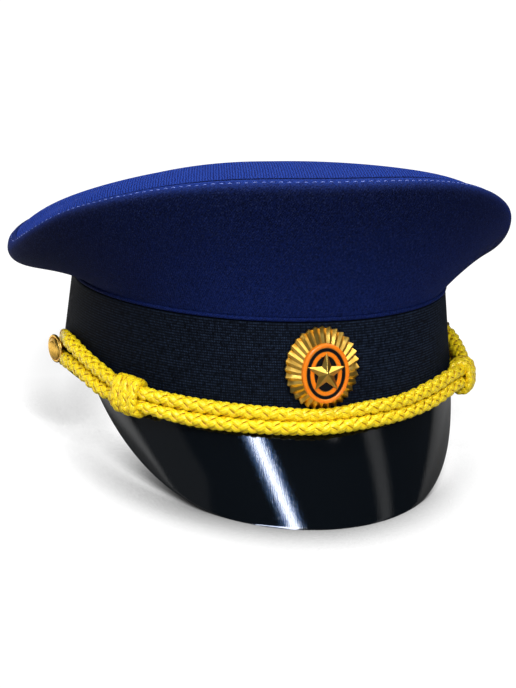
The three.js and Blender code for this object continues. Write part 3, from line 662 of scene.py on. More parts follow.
def makeCrownTop(shape):
    # rings shrink from the seam to the middle; each point lies on a plane from front to rear, eased onto the
    # seam by the square of its place and domed by one minus that square; at the sides the edge is fuller, by
    # the squared sine of the angle times the squared place times one minus its tenth power; the uv is the
    # plan in mm, moved far off in v where the fold at the front is creased, so that the cloth paints shade
    # there
    angles = np.linspace(-180, 180, shape["columns"], endpoint=False)
    ends = np.array([0.0, 180.0])

    def seamPoints(angle):
        section = crownSection(angle)
        across = section["reach"] - section["rollIn"] - shape["gap"]
        return onCrown(section, across, section["rise"] + section["rollUp"])[:, 0]

    seam = seamPoints(angles)
    front, rear = seamPoints(ends)
    middle = (front + rear) / 2
    pitch = (front[2] - rear[2]) / (front[1] - rear[1])
    part = np.concatenate([np.linspace(0.02, 0.8, shape["rings"]),
                           np.linspace(0.81, 0.97, shape["edgeRings"]),
                           1 - shape["foldWidth"] * np.linspace(2, 0, 9)])

    def sheet(parts, depth, fold):
        spot = middle + (seam[None] - middle) * parts[:, None, None]
        plane = middle[2] + pitch * (spot[..., 1] - middle[1])
        eased = (seam[:, 2] - middle[2] - pitch * (seam[:, 1] - middle[1])) * parts[:, None] ** 2
        frontal = np.cos(np.radians(angles)) ** 2
        turned = (fold * blendBetween(parts, 1 - shape["foldWidth"], 1)[:, None]
                  * (shape["sideFold"] + (1 - shape["sideFold"]) * frontal))
        full = (shape["shoulder"] * np.sin(np.radians(angles)) ** 2
                * (parts**2 * (1 - parts**shape["shoulderPower"]))[:, None])
        spot[..., 2] = plane + eased + full - turned + (shape["doming"] * (1 - parts**2) - depth)[:, None]
        return spot

    above = sheet(part, 0.0, shape["foldDrop"])
    below = sheet(part[::-4], shape["wall"], 0.0)
    points = np.concatenate([above, below])
    rows, columns = points.shape[:2]
    spread = points[..., :2].copy()
    inFold = blendBetween(part, 1 - shape["foldWidth"] * 1.3, 1 - shape["foldWidth"] * 0.6)[:, None]
    spread[:len(part), :, 1] += (shape["foldShadeMark"] * inFold
                                 * blendBetween(np.cos(np.radians(angles)), 0.15, 0.5))
    vertices, faces, corners = gridMesh(points, closedEnd(spread, 1), False, True)
    centres = np.array([above[0].mean(0), below[-1].mean(0)])
    caps = endFans(len(vertices), rows, columns)
    vertices = np.concatenate([vertices, centres])
    corners = np.concatenate([corners, vertices[np.array(caps).ravel(), :2]])
    return vertices, faces + caps, corners


addPiece("crownTop", makeCrownTop(topShape), topCloth, ["crown_top"])

# Topstitch: a row of thread stitches round the rolled edge, beside the seam
stitchShape = dict(spacing=3.5, length=2.4, radius=0.19, lift=0.05, pull=0.26, archHeight=0.45, archSunk=0.6,
                   thinEnd=0.55, sideSink=0.22, sinkFrom=78, sinkFull=95, seed=11, sides=6, rings=5)


def makeTopstitch(shape):
    # each stitch is a short round thread along the stitch line that arches by a half sine and dives in at
    # both ends, and some are pulled deeper than others, all of them deeper at the sides and behind
    fine = np.linspace(-180, 180, 1441)
    rng = np.random.default_rng(shape["seed"])

    def stitchLine(angle, raised):
        section = crownSection(angle)
        turn = np.radians(section["stitch"])
        across, up = rollPoint(section, turn)
        lift = raised[:, None]
        return onCrown(section, across + lift * np.cos(turn), up + lift * np.sin(turn))[:, 0]

    line = stitchLine(fine, np.zeros_like(fine))
    travelled = np.concatenate([[0], np.cumsum(np.linalg.norm(np.diff(line, axis=0), axis=1))])
    count = int(travelled[-1] / shape["spacing"])
    along = np.linspace(0, 1, shape["rings"])
    starts = np.arange(count)[:, None] * travelled[-1] / count
    angle = np.interp((starts + along * shape["length"]).ravel(), travelled, fine)
    arch = np.tile(np.sin(along * math.pi) ** 0.5, count)
    pulled = np.repeat(rng.uniform(0, shape["pull"], count), shape["rings"])
    sunk = (shape["lift"] - crownShape["stitchGroove"]
            + (arch - shape["archSunk"]) * shape["archHeight"] - pulled)
    sunk = sunk - shape["sideSink"] * blendBetween(np.abs(angle), shape["sinkFrom"], shape["sinkFull"])
    centre = stitchLine(angle, sunk)
    outer = unit(stitchLine(angle, sunk + 1) - centre)
    way = unit(stitchLine(angle + 0.05, sunk) - stitchLine(angle - 0.05, sunk))
    side = np.cross(way, outer)
    around = np.linspace(0, 2 * math.pi, shape["sides"], endpoint=False)[:, None]
    swelling = shape["thinEnd"] + (1 - shape["thinEnd"]) * np.sin(along * math.pi)
    thick = shape["radius"] * np.tile(swelling, count)[:, None, None]
    ring = centre[:, None] + thick * (np.cos(around) * side[:, None] + np.sin(around) * outer[:, None])
    ring = ring.reshape(count, shape["rings"], shape["sides"], 3)
    one = np.arange(shape["rings"] * shape["sides"]).reshape(shape["rings"], shape["sides"])
    i, j = gridQuads(shape["rings"], shape["sides"], False, True)
    quads = one[i, j % shape["sides"]].tolist() + [one[0][::-1].tolist(), one[-1].tolist()]
    faces = [[k * one.size + corner for corner in face] for k in range(count) for face in quads]
    return ring.reshape(-1, 3), faces, np.zeros((sum(len(face) for face in faces), 2))


def sewingThread(name):
    # Mercerised cotton thread: a paler blue than the cloth, with a soft shine where it lies on top.
    material, tree, shader = newMaterial(name)
    place = addNode(tree, "ShaderNodeTexCoord").outputs["Object"]
    twist = addNode(tree, "ShaderNodeTexNoise", {"Vector": place, "Scale": 1 / 0.0006, "Detail": 2.0})
    tone = addNode(tree, "ShaderNodeMix", {"Factor": twist.outputs["Fac"], "A": toLinear("#182a72"),
                                           "B": toLinear("#6379c4")}, data_type="RGBA")
    setShader(tree, shader, Base_Color=tone.outputs["Result"], Roughness=0.5, Sheen_Weight=0.2)
    return material


addPiece("topstitchThread", makeTopstitch(stitchShape), sewingThread("cotton thread, mercerised"))

# Peak: a steep curved shell under the band's front, its lower edge rounded
peakShape = dict(span=69.0, length=48.1, slope=64.0, taperPower=3.0, taperExponent=0.87, inturn=0.08,
                 bulge=1.0, wall=2.0, endLength=1.2, gap=0.3, edgeAlong=1.5, columns=220, down=44,
                 bendSteps=15, inside=14)


def onPeak(angle, part, inset):
    # from the band's lower edge along the fall line by a part of the length there, swollen by a parabola
    shape = peakShape
    taper = (np.maximum(1 - (np.abs(angle) / shape["span"]) ** shape["taperPower"], 0)
             ** shape["taperExponent"])
    length = np.maximum(shape["length"] * taper, shape["endLength"])
    slope = math.radians(shape["slope"])
    fallAcross = -shape["inturn"] * np.sin(np.radians(angle))
    fall = unit(stacked(fallAcross, -math.cos(slope), -math.sin(slope)))
    swell = shape["bulge"] * (length / shape["length"]) * 4 * part * (1 - part)
    point = onBand(angle, np.zeros_like(swell), swell - shape["gap"] - inset)
    point[..., 2] -= shape["gap"]
    return point + fall * (part * length)[..., None], length


def makePeak(shape):
    # the section runs down the outside, round the lower edge by half an oval, and up the inside
    angles = shape["span"] * np.sin(np.linspace(-math.pi / 2, math.pi / 2, shape["columns"]))
    bare = np.linspace(0, 1, shape["down"])[:, None]
    length = onPeak(angles, np.zeros_like(angles), np.zeros_like(angles))[1]
    rounding = np.minimum(shape["edgeAlong"] / length, 0.4)
    outer = bare * (1 - rounding)
    turn = np.linspace(0, math.pi, shape["bendSteps"])[1:-1, None]
    bend = 1 - rounding + rounding * np.sin(turn)
    inner = (1 - np.linspace(0, 1, shape["inside"])[:, None]) * (1 - rounding)
    part = np.concatenate([outer, bend, inner])
    inset = np.concatenate([np.zeros((shape["down"], 1)), shape["wall"] * (1 - np.cos(turn)) / 2,
                            np.full((shape["inside"], 1), shape["wall"])]) + 0 * part
    points = pressedFlat(onPeak(angles[None, :] + 0 * part, part, inset)[0]).transpose(1, 0, 2)
    along = angles / 360 * ringLength(bandShape["lowHalfWidth"], bandShape["lowHalfLength"])
    walked = closedEnd(part + np.cumsum(np.ones_like(part), 0) * 1e-3) * length.max()
    vertices, faces, corners = gridMesh(points, stacked(along[:, None], walked.T), False, True)
    rows, columns = points.shape[:2]
    return vertices, faces + endFaces(rows, columns), np.concatenate([corners, np.zeros((2 * columns, 2))])


addPiece("patentPeak", makePeak(peakShape), patent, ["peak"], sharpAngle=50)

# Chin cord: one braided loop round both buttons. upper and lower are the strands' heights on the band.
cordShape = dict(diameter=6.2, gap=0.4, underButton=2.6, knotLift=2.8, knotFull=10.0, knotNone=26.0,
                 buttonLoop=5.5, strandGap=0.25, leftKnot=-51.0, rightKnot=58.0, cockadeLift=1.3,
                 cockadeFull=10.0, cockadeNone=28.0, slack=0.8, squeezeFrom=0.55, squeezeTo=1.15)
buttonShape = dict(angle=90.0, height=9.8, radius=6.6, rim=1.5, rimWidth=1.0, dome=1.6, shank=1.1, gap=0.3,
                   yaw=17.0, pitch=9.0, lift=1.9, beadRise=0.25, valley=0.35, ribPitch=1.0, ribDepth=0.14,
                   ribFull=0.66, ribNone=0.86, columns=96)
cordStations = [
    dict(angle=-88, upper=15.3, lower=5.5),
    dict(angle=-82, upper=15.8, lower=7.0),
    dict(angle=-73, upper=13.4, lower=6.2),
    dict(angle=-62, upper=9.8, lower=2.8),
    dict(angle=-54, upper=7.6, lower=1.9),
    dict(angle=-46, upper=6.5, lower=0.8),
    dict(angle=-32, upper=4.5, lower=-1.5),
    dict(angle=-15, upper=3.7, lower=-2.0),
    dict(angle=0, upper=2.8, lower=-2.1),
    dict(angle=12, upper=4.5, lower=-1.2),
    dict(angle=24, upper=4.9, lower=-0.6),
    dict(angle=38, upper=6.9, lower=0.8),
    dict(angle=50, upper=9.1, lower=3.6),
    dict(angle=58, upper=7.5, lower=2.1),
    dict(angle=66, upper=8.5, lower=2.1),
    dict(angle=82, upper=13.4, lower=4.0),
    dict(angle=88, upper=15.0, lower=4.6),
]


def alongBand(first, second):
    # the straight distance between two angles at the band's lower edge
    here, there = (onBand(angle, 0.0 * angle, 0.0 * angle) for angle in (first, second))
    return np.linalg.norm(here - there, axis=-1)


def cordPoint(angle, height):
    # the cord's middle stands off the band and the peak by half its thickness, rises at the knots and over
    # the cockade's lower edge, and lies flatter under the buttons
    shape = cordShape
    side = np.sign(angle) * buttonShape["angle"]
    fromButton = np.hypot(alongBand(angle, side), height - buttonShape["height"])
    clear = buttonShape["radius"] + shape["diameter"] / 2
    squeeze = blendBetween(fromButton, clear * shape["squeezeFrom"], clear * shape["squeezeTo"])
    flat = shape["underButton"] + shape["slack"]
    thick = flat + (shape["diameter"] - flat) * squeeze
    fromKnot = alongBand(angle, np.where(angle < 0, shape["leftKnot"], shape["rightKnot"]))
    nearKnot = 1 - blendBetween(fromKnot, shape["knotFull"], shape["knotNone"])
    nearCockade = 1 - blendBetween(alongBand(angle, 0.0 * angle), shape["cockadeFull"], shape["cockadeNone"])
    stand = thick / 2 + shape["gap"]
    slope = math.radians(peakShape["slope"])
    overPeak = (stand - height * math.cos(slope)) / math.sin(slope)
    ahead = np.maximum(np.cos(np.radians(angle)), 0)
    lift = np.maximum(stand, stand + (overPeak - stand) * ahead)
    lift = lift + shape["knotLift"] * nearKnot + shape["cockadeLift"] * nearCockade
    return onBand(angle, height, lift), thick


def cordRoute():
    # the upper strand to +X, round that button, the lower strand back, and round the other button; where the
    # strands lie closer than their thickness they are pressed narrower against each other
    angles = np.array([row["angle"] for row in cordStations], float)
    upper = np.array([row["upper"] for row in cordStations])
    lower = np.array([row["lower"] for row in cordStations])
    bend = np.radians([60, 20, -20, -60])
    side = buttonShape["angle"]
    degree = alongBand(np.array(side - 0.5), np.array(side + 0.5))
    loop = side + cordShape["buttonLoop"] * np.cos(bend) / degree
    level = buttonShape["height"] + cordShape["buttonLoop"] * np.sin(bend)
    angle = np.concatenate([angles, loop, angles[::-1], -loop[::-1]])
    height = np.concatenate([upper, level, lower[::-1], level[::-1]])
    middle, thick = cordPoint(angle, height)
    apart = np.linalg.norm(cordPoint(angles, upper)[0] - cordPoint(angles, lower)[0], axis=1)
    wide = np.minimum(apart - cordShape["strandGap"], cordShape["diameter"])
    wide = np.concatenate([wide, np.full(4, wide[-1]), wide[::-1], np.full(4, wide[0])])
    return np.concatenate([middle, offBand(angle), thick[:, None], wide[:, None]], 1)


def splined(rows, perSpan):
    # a closed centripetal Catmull-Rom curve through rows whose first three columns are places
    before, here, after, beyond = (np.roll(rows, k, 0) for k in (1, 0, -1, -2))
    gaps = [np.linalg.norm((b - a)[:, :3], axis=1)[:, None] ** 0.5
            for a, b in ((before, here), (here, after), (after, beyond))]
    leave = ((here - before) / gaps[0] - (after - before) / (gaps[0] + gaps[1])
             + (after - here) / gaps[1]) * gaps[1]
    arrive = ((after - here) / gaps[1] - (beyond - here) / (gaps[1] + gaps[2])
              + (beyond - after) / gaps[2]) * gaps[1]
    t = (np.arange(perSpan) / perSpan)[None, :, None]
    here, after, leave, arrive = (x[:, None, :] for x in (here, after, leave, arrive))
    curve = (here + leave * t + (3 * (after - here) - 2 * leave - arrive) * t**2
             + (2 * (here - after) + leave + arrive) * t**3)
    return curve.reshape(-1, rows.shape[1])


def evenly(rows, count, closed):
    # the same curve at equal steps of length, with its whole length
    loop = closedEnd(rows) if closed else rows
    walked = np.concatenate([[0], np.cumsum(np.linalg.norm(np.diff(loop[:, :3], axis=0), axis=1))])
    at = np.linspace(0, walked[-1], count, endpoint=not closed)
    return np.stack([np.interp(at, walked, column) for column in loop.T], 1), walked[-1]


def slopes(points, closed):
    # central differences along the first axis
    if closed:
        return np.roll(points, -1, 0) - np.roll(points, 1, 0)
    return np.gradient(points, axis=0)


def plaited(path, outs, halfAcross, halfOut, closed, turns):
    # a plait's angle turns with the length, one way or the other, and its distance from the middle is a
    # cosine with four waves to the turn, opposite for the two ways, so that they weave
    shape = braidShape
    rng = np.random.default_rng(shape["seed"])
    count = len(path)
    along = unit(slopes(path, closed))
    out = unit(outs - (outs * along).sum(1, keepdims=True) * along)
    across = np.cross(along, out)
    phase = np.arange(count) / (count if closed else count - 1) * 2 * math.pi * turns
    nominal = shape["radius"]
    flatAcross, flatOut = (half / nominal for half in (halfAcross, halfOut))
    around = np.linspace(0, 2 * math.pi, shape["sides"], endpoint=False)
    walked = np.concatenate([[0], np.cumsum(np.linalg.norm(np.diff(path, axis=0), axis=1))])
    width = np.append(around, 2 * math.pi) / (2 * math.pi) * shape["girth"]
    length = np.append(walked, walked[-1] + walked[1]) if closed else walked

    def tube(ring, uv):
        # a run of rings, closed on itself or by a face over each end
        points, faces, corners = gridMesh(ring, uv, closed, True)
        if not closed:
            faces = faces + endFaces(count, shape["sides"])
            corners = np.concatenate([corners, np.zeros((2 * shape["sides"], 2))])
        return points, faces, corners

    meshes = []
    for plait in range(8):
        way = 1 if plait < 4 else -1
        angle = way * phase + plait % 4 * math.pi / 2
        pace, start = rng.uniform(shape["slowest"], shape["fastest"]), rng.uniform(0, shape["latest"])
        wobble = 1 + shape["uneven"] * np.sin(phase * pace + start)
        distance = shape["middle"] + way * shape["weave"] * np.cos(4 * phase)
        cosine, sine = np.cos(angle)[:, None], np.sin(angle)[:, None]
        centre = path + distance[:, None] * (across * cosine * flatAcross[:, None]
                                             + out * sine * flatOut[:, None])
        normal = unit(across * cosine / flatAcross[:, None] + out * sine / flatOut[:, None])
        tangent = unit(slopes(centre, closed))
        normal = unit(normal - (normal * tangent).sum(1, keepdims=True) * tangent)
        side = np.cross(tangent, normal)
        high = shape["halfHeight"] * np.hypot(cosine * flatAcross[:, None], sine * flatOut[:, None])
        wide = (shape["halfWidth"] * wobble)[:, None]
        ring = (centre[:, None] + (wide * np.cos(around))[..., None] * side[:, None]
                + (high * np.sin(around))[..., None] * normal[:, None])
        meshes.append(tube(ring, stacked(length[:, None], width[None, :])))
    core = path[:, None] + shape["core"] * (
        np.cos(around)[:, None] * (across * flatAcross[:, None])[:, None]
        + np.sin(around)[:, None] * (out * flatOut[:, None])[:, None])
    meshes.append(tube(core[:, ::-1], np.zeros((count + 1, shape["sides"] + 1, 2))))
    return joined(meshes)


def makeCord():
    # the route's curve at equal steps, with a whole number of turns of braid on it
    dense = splined(cordRoute(), 40)
    length = evenly(dense, 10, True)[1]
    turns = round(length / braidShape["pitch"])
    rows = evenly(dense, turns * braidShape["stepsPerTurn"], True)[0]
    print("cord loop is", round(length), "mm long with", turns, "turns of braid")
    return plaited(rows[:, :3], rows[:, 3:6], rows[:, 7] / 2, rows[:, 6] / 2, True, turns)


addPiece("chinCordBraid", makeCord(), braidGold, ["chin_cord"])

# Knots: the same braid wrapped round both strands, its ends hidden against the band
knotShape = dict(turns=3, pitch=4.6, halfWidth=2.75, halfThick=1.6, barrel=0.5, snug=0.8, slot=1.6,
                 turnSpan=4.0, braidTurns=5, steps=600)


def makeKnot(angle):
    # a coil: place along the cord grows with the turn, and round it the path is a stadium, two half circles
    # joined by straights, about the two strands
    shape = knotShape

    def strand(column, at):
        at = np.array([float(at)])
        return cordPoint(at, alongTable(cordStations, column, at))[0][0]

    upper, lower = strand("upper", angle), strand("lower", angle)
    ahead = strand("upper", angle + shape["turnSpan"]) + strand("lower", angle + shape["turnSpan"])
    behind = strand("upper", angle - shape["turnSpan"]) + strand("lower", angle - shape["turnSpan"])
    along = unit(ahead - behind)
    across = upper - lower
    apart = np.linalg.norm(across) / 2
    across = unit(across - (across @ along) * along)
    out = np.cross(along, across)
    turn = np.linspace(0, 2 * math.pi * shape["turns"], shape["steps"]) - math.pi / 2
    wide, high = (half + shape["halfThick"] - shape["snug"] for half in (apart, cordShape["diameter"] / 2))
    place = ((turn + math.pi / 2) / (2 * math.pi) - shape["turns"] / 2) * shape["pitch"]
    swell = shape["barrel"] * (1 - (2 * place / (shape["turns"] * shape["pitch"])) ** 2)
    sideways = apart * np.clip(shape["slot"] * np.cos(turn), -1, 1) + (wide + swell) * np.cos(turn)
    outwards = (high + swell) * np.sin(turn)
    spots = ((upper + lower) / 2 + place[:, None] * along
             + sideways[:, None] * across + outwards[:, None] * out)
    normals = np.cos(turn)[:, None] * across + np.sin(turn)[:, None] * out
    count = shape["braidTurns"] * braidShape["stepsPerTurn"]
    rows = evenly(np.concatenate([spots, normals], 1), count, False)[0]
    return plaited(rows[:, :3], rows[:, 3:6], np.full(count, shape["halfWidth"]),
                   np.full(count, shape["halfThick"]), False, shape["braidTurns"])


addPiece("knotWrapLeft", makeKnot(cordShape["leftKnot"]), braidGold, ["knot_left"])
addPiece("knotWrapRight", makeKnot(cordShape["rightKnot"]), braidGold, ["knot_right"])


def seatedOnBand(angle, height, yaw=0.0, pitch=0.0, lift=0.0):
    # a frame on the band: X sideways, Y up the band's slope, Z off the band, then lifted, turned about Y by
    # the yaw and about X by the pitch
    angle = np.array([float(angle)])
    foot = onBand(angle, np.array([height]), np.zeros(1))[0]
    up = unit(onBand(angle, np.array([height + 1.0]), np.zeros(1))[0] - foot)
    side = unit(np.cross(up, offBand(angle)[0]))
    out = np.cross(side, up)
    turn, nod = math.radians(yaw), math.radians(pitch)
    turned = unit(out * math.cos(turn) + side * math.sin(turn))
    side = np.cross(up, turned)
    nodded = unit(turned * math.cos(nod) - up * math.sin(nod))
    return foot + out * lift, np.stack([side, np.cross(nodded, side), nodded], -1)


def seated(points, seat):
    # a seat's own points as points of the cap
    foot, axes = seat
    return points @ axes.T + foot


def turnedProfile(radii, levels, columns, seat, relief=None):
    # a profile of radius and level carried once round Z, closed by its two ends, which lie on the axis
    around = np.linspace(0, 2 * math.pi, columns, endpoint=False)
    radius, level = np.asarray(radii, float)[1:-1, None], np.asarray(levels, float)[1:-1, None]
    points = stacked(radius * np.cos(around), radius * np.sin(around), level)
    if relief:
        points[..., 2] += relief(points)
    vertices, faces, corners = gridMesh(points, closedEnd(points, 1)[..., :2], False, True)
    ends = np.array([[0, 0, levels[0]], [0, 0, levels[-1]]], float)
    if relief:
        ends[1:, 2] += relief(ends[1:])
    caps = endFans(len(vertices), len(radius), columns)
    vertices = np.concatenate([vertices, ends])
    corners = np.concatenate([corners, vertices[np.array(caps).ravel(), :2]])
    return seated(vertices, seat), faces + caps, corners


def makeButton(angle):
    # a shank, a rounded rim, a valley inside it and a low dome with fine upright ribs
    shape = buttonShape
    back = cordShape["gap"] + cordShape["underButton"] + 2 * shape["gap"]
    face = back + shape["rim"]
    bead = np.linspace(-math.pi / 2, math.pi, 13)
    half = shape["rim"] / 2
    beadRadius = shape["radius"] - half + half * np.cos(bead)
    beadLevel = face - half + half * np.sin(bead) + shape["beadRise"]
    domeTurn = np.linspace(0, math.pi / 2, 26)
    inner = shape["radius"] - shape["rimWidth"] - shape["valley"]
    domeRadius = inner * np.cos(domeTurn)
    domeLevel = face - shape["valley"] + (shape["dome"] + shape["valley"]) * np.sin(domeTurn)
    shank = [0, shape["shank"], shape["shank"], shape["radius"] - shape["rim"]]
    radii = np.concatenate([shank, beadRadius, domeRadius])
    foot = 2 * shape["gap"] - shape["lift"]
    levels = np.concatenate([[foot, foot, back, back], beadLevel, domeLevel])

    def ribs(points):
        # cosine ribs across the dome, fading out towards its edge
        away = np.hypot(points[..., 0], points[..., 1])
        onDome = (points[..., 2] > face) * blendBetween(away, inner * shape["ribNone"],
                                                        inner * shape["ribFull"])
        return onDome * shape["ribDepth"] * np.cos(2 * math.pi * points[..., 0] / shape["ribPitch"])

    yaw = -math.copysign(shape["yaw"], angle)
    seat = seatedOnBand(angle, shape["height"], yaw, shape["pitch"], shape["lift"])
    return turnedProfile(radii, levels, shape["columns"], seat, ribs)


addPiece("buttonLeft", makeButton(-buttonShape["angle"]), gilt, ["button_left"], sharpAngle=60)
addPiece("buttonRight", makeButton(buttonShape["angle"]), gilt, ["button_right"], sharpAngle=60)

# Cockade: a fluted oval of rays, an enamelled oval on it, and a star
cockadeShape = dict(height=22.3, raysHalfWidth=16.4, raysHalfHeight=18.1, rays=32, notch=0.06, edgeRise=1.9,
                    crestRise=5.2, groove=0.95, inner=0.6, gap=0.3, ovalHalfWidth=10.3, ovalHalfHeight=12.8,
                    ovalDrop=1.4, ovalThick=2.4, starReach=8.6, starWaist=0.42, starStretch=1.04,
                    starHeight=2.2, starRim=0.4, starDrop=1.1, starSunk=0.35, starBevel=0.16, innerGroove=0.7,
                    notchFrom=0.5, seatShrink=0.9, seatSunk=0.7, perRay=8, rings=26, ovalColumns=160)
cockadeSeat = seatedOnBand(0, cockadeShape["height"])
ovalLevel = 2 * cockadeShape["gap"] + cockadeShape["crestRise"]


def makeRays(shape):
    # from the edge inwards the level climbs evenly; round it each ray is a triangle wave, cut deepest at the
    # edge, where the grooves also pull the outline in
    count = shape["rays"] * shape["perRay"]
    around = np.arange(count) / count * 2 * math.pi
    wave = np.abs((np.arange(count) / shape["perRay"]) % 1 - 0.5) * 2
    cut = (1 - wave)[None, :]
    part = np.linspace(1, shape["inner"], shape["rings"])[:, None]
    inward = (part - shape["inner"]) / (1 - shape["inner"])
    level = shape["edgeRise"] + (shape["crestRise"] - shape["edgeRise"]) * (1 - inward)
    depth = cut * (shape["innerGroove"] + (1 - shape["innerGroove"]) * inward)
    size = part * (1 - shape["notch"] * depth * blendBetween(inward, shape["notchFrom"], 1.0))
    x = shape["raysHalfWidth"] * size * np.cos(around)
    y = shape["raysHalfHeight"] * size * np.sin(around) - shape["ovalDrop"] * (1 - inward)
    z = shape["gap"] + np.maximum(level - shape["groove"] * depth, shape["edgeRise"] / 2)
    top = stacked(x, y, z)
    base = top[:1].copy()
    base[..., 2] = shape["gap"]
    seatRing = top[-1:].copy()
    drop = np.array([0, shape["ovalDrop"]])
    seatRing[..., :2] = (seatRing[..., :2] + drop) * shape["seatShrink"] - drop
    seatRing[..., 2] = shape["gap"] + shape["crestRise"] - shape["seatSunk"]
    points = np.concatenate([base, top, seatRing])
    vertices, faces, corners = gridMesh(points, closedEnd(points, 1)[..., :2], False, True)
    corners = np.concatenate([corners, np.zeros((2 * count, 2))])
    return seated(vertices, cockadeSeat), faces + endFaces(len(points), count), corners


addPiece("cockadeRays", makeRays(cockadeShape), gilt, ["cockade_rays"], sharpAngle=20)

# Enamel: distances in from the oval's edge to each line, and how deep the face lies there
enamelRings = [
    dict(inset=0.0, depth=0.9),
    dict(inset=0.06, depth=0.45),
    dict(inset=0.25, depth=0.16),
    dict(inset=0.6, depth=0.02),
    dict(inset=1.0, depth=0.0),
    dict(inset=1.5, depth=0.06),
    dict(inset=1.72, depth=0.28),
    dict(inset=1.78, depth=0.45),
    dict(inset=1.92, depth=0.45),
    dict(inset=1.98, depth=0.62),
    dict(inset=2.6, depth=0.66),
    dict(inset=3.18, depth=0.62),
    dict(inset=3.24, depth=0.4),
    dict(inset=3.4, depth=0.4),
    dict(inset=3.46, depth=0.52),
    dict(inset=4.2, depth=0.44),
    dict(inset=5.0, depth=0.52),
    dict(inset=5.08, depth=0.42),
    dict(inset=5.28, depth=0.42),
    dict(inset=5.36, depth=0.85),
    dict(inset=7.5, depth=0.9),
]


def makeOval(shape):
    # rings that shrink from the oval's edge by each inset, at the level that its depth gives
    around = np.linspace(0, 2 * math.pi, shape["ovalColumns"], endpoint=False)
    inset = np.array([row["inset"] for row in enamelRings])[:, None]
    level = ovalLevel + shape["ovalThick"] - np.array([row["depth"] for row in enamelRings])[:, None]
    x = (shape["ovalHalfWidth"] - inset) * np.cos(around)
    y = (shape["ovalHalfHeight"] - inset) * np.sin(around) - shape["ovalDrop"]
    top = stacked(x, y, level)
    base = top[:1].copy()
    base[..., 2] = ovalLevel
    points = np.concatenate([base, top])
    walked = np.concatenate([[[-1.0]], inset])
    uv = stacked(np.append(around, 2 * math.pi)[None, :], walked)
    vertices, faces, corners = gridMesh(points, uv, False, True)
    count, ends = len(around), endFaces(len(points), len(around))
    endUv = np.concatenate([np.tile([0, -1.0], (count, 1)), np.tile([0, 9.0], (count, 1))])
    return seated(vertices, cockadeSeat), faces + ends, np.concatenate([corners, endUv])


def hardEnamel(name):
    # Fired enamel in a stamped oval: glossy orange and black rings, parted by thin gilt lines.
    material, tree, shader = newMaterial(name)
    uv = addNode(tree, "ShaderNodeUVMap", uv_map="surfaceMm").outputs["UV"]
    inset = addNode(tree, "ShaderNodeSeparateXYZ", {"Vector": uv}).outputs["Y"]
    place = addNode(tree, "ShaderNodeTexCoord").outputs["Object"]
    cloudy = addNode(tree, "ShaderNodeTexNoise", {"Vector": place, "Scale": 1 / 0.003, "Detail": 2.0})
    orange = addNode(tree, "ShaderNodeMix", {"Factor": cloudy.outputs["Fac"], "A": toLinear("#ee7208"),
                                             "B": toLinear("#f58a14")}, data_type="RGBA").outputs["Result"]
    black, gold = toLinear("#0b0b0d"), toLinear("#d9a94a")
    colour, metal = orange, 0.0
    bands = [(1.77, gold, 1.0), (1.93, black, 0.0), (3.23, gold, 1.0), (3.41, orange, 0.0), (5.06, gold, 1.0),
             (5.3, black, 0.0)]
    for start, tone, metallic in bands:
        past = addNode(tree, "ShaderNodeMath", {0: inset, 1: start},
                       operation="GREATER_THAN").outputs["Value"]
        colour = addNode(tree, "ShaderNodeMix", {"Factor": past, "A": colour, "B": tone},
                         data_type="RGBA").outputs["Result"]
        metal = addNode(tree, "ShaderNodeMix", {"Factor": past, "A": metal, "B": metallic},
                        data_type="FLOAT").outputs["Result"]
    setShader(tree, shader, Base_Color=colour, Metallic=metal, Roughness=0.3, Specular_IOR_Level=0.35,
              Coat_Weight=0.2, Coat_Roughness=0.06)
    return material


addPiece("cockadeEnamel", makeOval(cockadeShape), hardEnamel("hard enamel, fired"),
         ["cockade_plaque"], sharpAngle=40)


def makeStar(shape):
    # ten corners, far and near by turns, joined to a raised middle, over a low upright rim
    turn = math.pi / 2 + np.arange(10) / 10 * 2 * math.pi
    reach = shape["starReach"] * np.where(np.arange(10) % 2 == 0, 1, shape["starWaist"])
    outline = np.stack([reach * np.cos(turn), reach * shape["starStretch"] * np.sin(turn) - shape["starDrop"],
                        0 * turn], -1)
    low = ovalLevel + shape["ovalThick"] - shape["starSunk"]
    rings = [outline + [0, 0, low], outline + [0, 0, low + shape["starRim"]]]
    top = np.array([[0, -shape["starDrop"], low + shape["starRim"] + shape["starHeight"]]])
    points = np.concatenate(rings + [top])
    step = np.arange(10)
    faces = [[int(a), int((a + 1) % 10), int(10 + (a + 1) % 10), int(10 + a)] for a in step]
    faces += [[int(10 + a), int(10 + (a + 1) % 10), 20] for a in step] + [list(range(10))[::-1]]
    uv = np.zeros((sum(len(face) for face in faces), 2))
    return seated(points, cockadeSeat), faces, uv


star = addPiece("cockadeStar", makeStar(cockadeShape), gilt, ["cockade_star"], sharpAngle=5)
softened = star.modifiers.new("softEdges", "BEVEL")
softened.width, softened.segments, softened.limit_method = cockadeShape["starBevel"] / 1000, 2, "ANGLE"

# Stage: a pale floor that turns to plain white away from the cap, soft lights and a dim studio round them.
# Only the camera sees the white paper: light and reflections meet a darker table, as in a cut-out photograph;
# in reflections that table is painted paler at the left rear, a painted reflection. The shade beside the cap
# is mostly painted shadow, the glow dimmed by ambient occlusion, with some real shadow from the lights on the
# paper, deepest in front and at the left. Places are in metres on the floor.
stageShape = dict(floorHalf=30.0, footMiddle=(-0.032, -0.016, 0.0), footWide=0.115, footLong=0.17,
                  fadeFrom=0.55, fadeTo=1.0, glowShare=0.86, paper=0.45, glow=1.1, contactReach=0.027,
                  rightFrom=0.0, rightTo=0.07, rightShade=0.25, frontTo=-0.03, rearFrom=0.03, frontShade=5.0,
                  rearShade=0.4, table=0.3, mirrorFrom=0.1, mirrorTo=0.2, frontMirrored=0.18,
                  rearMirrored=0.6)


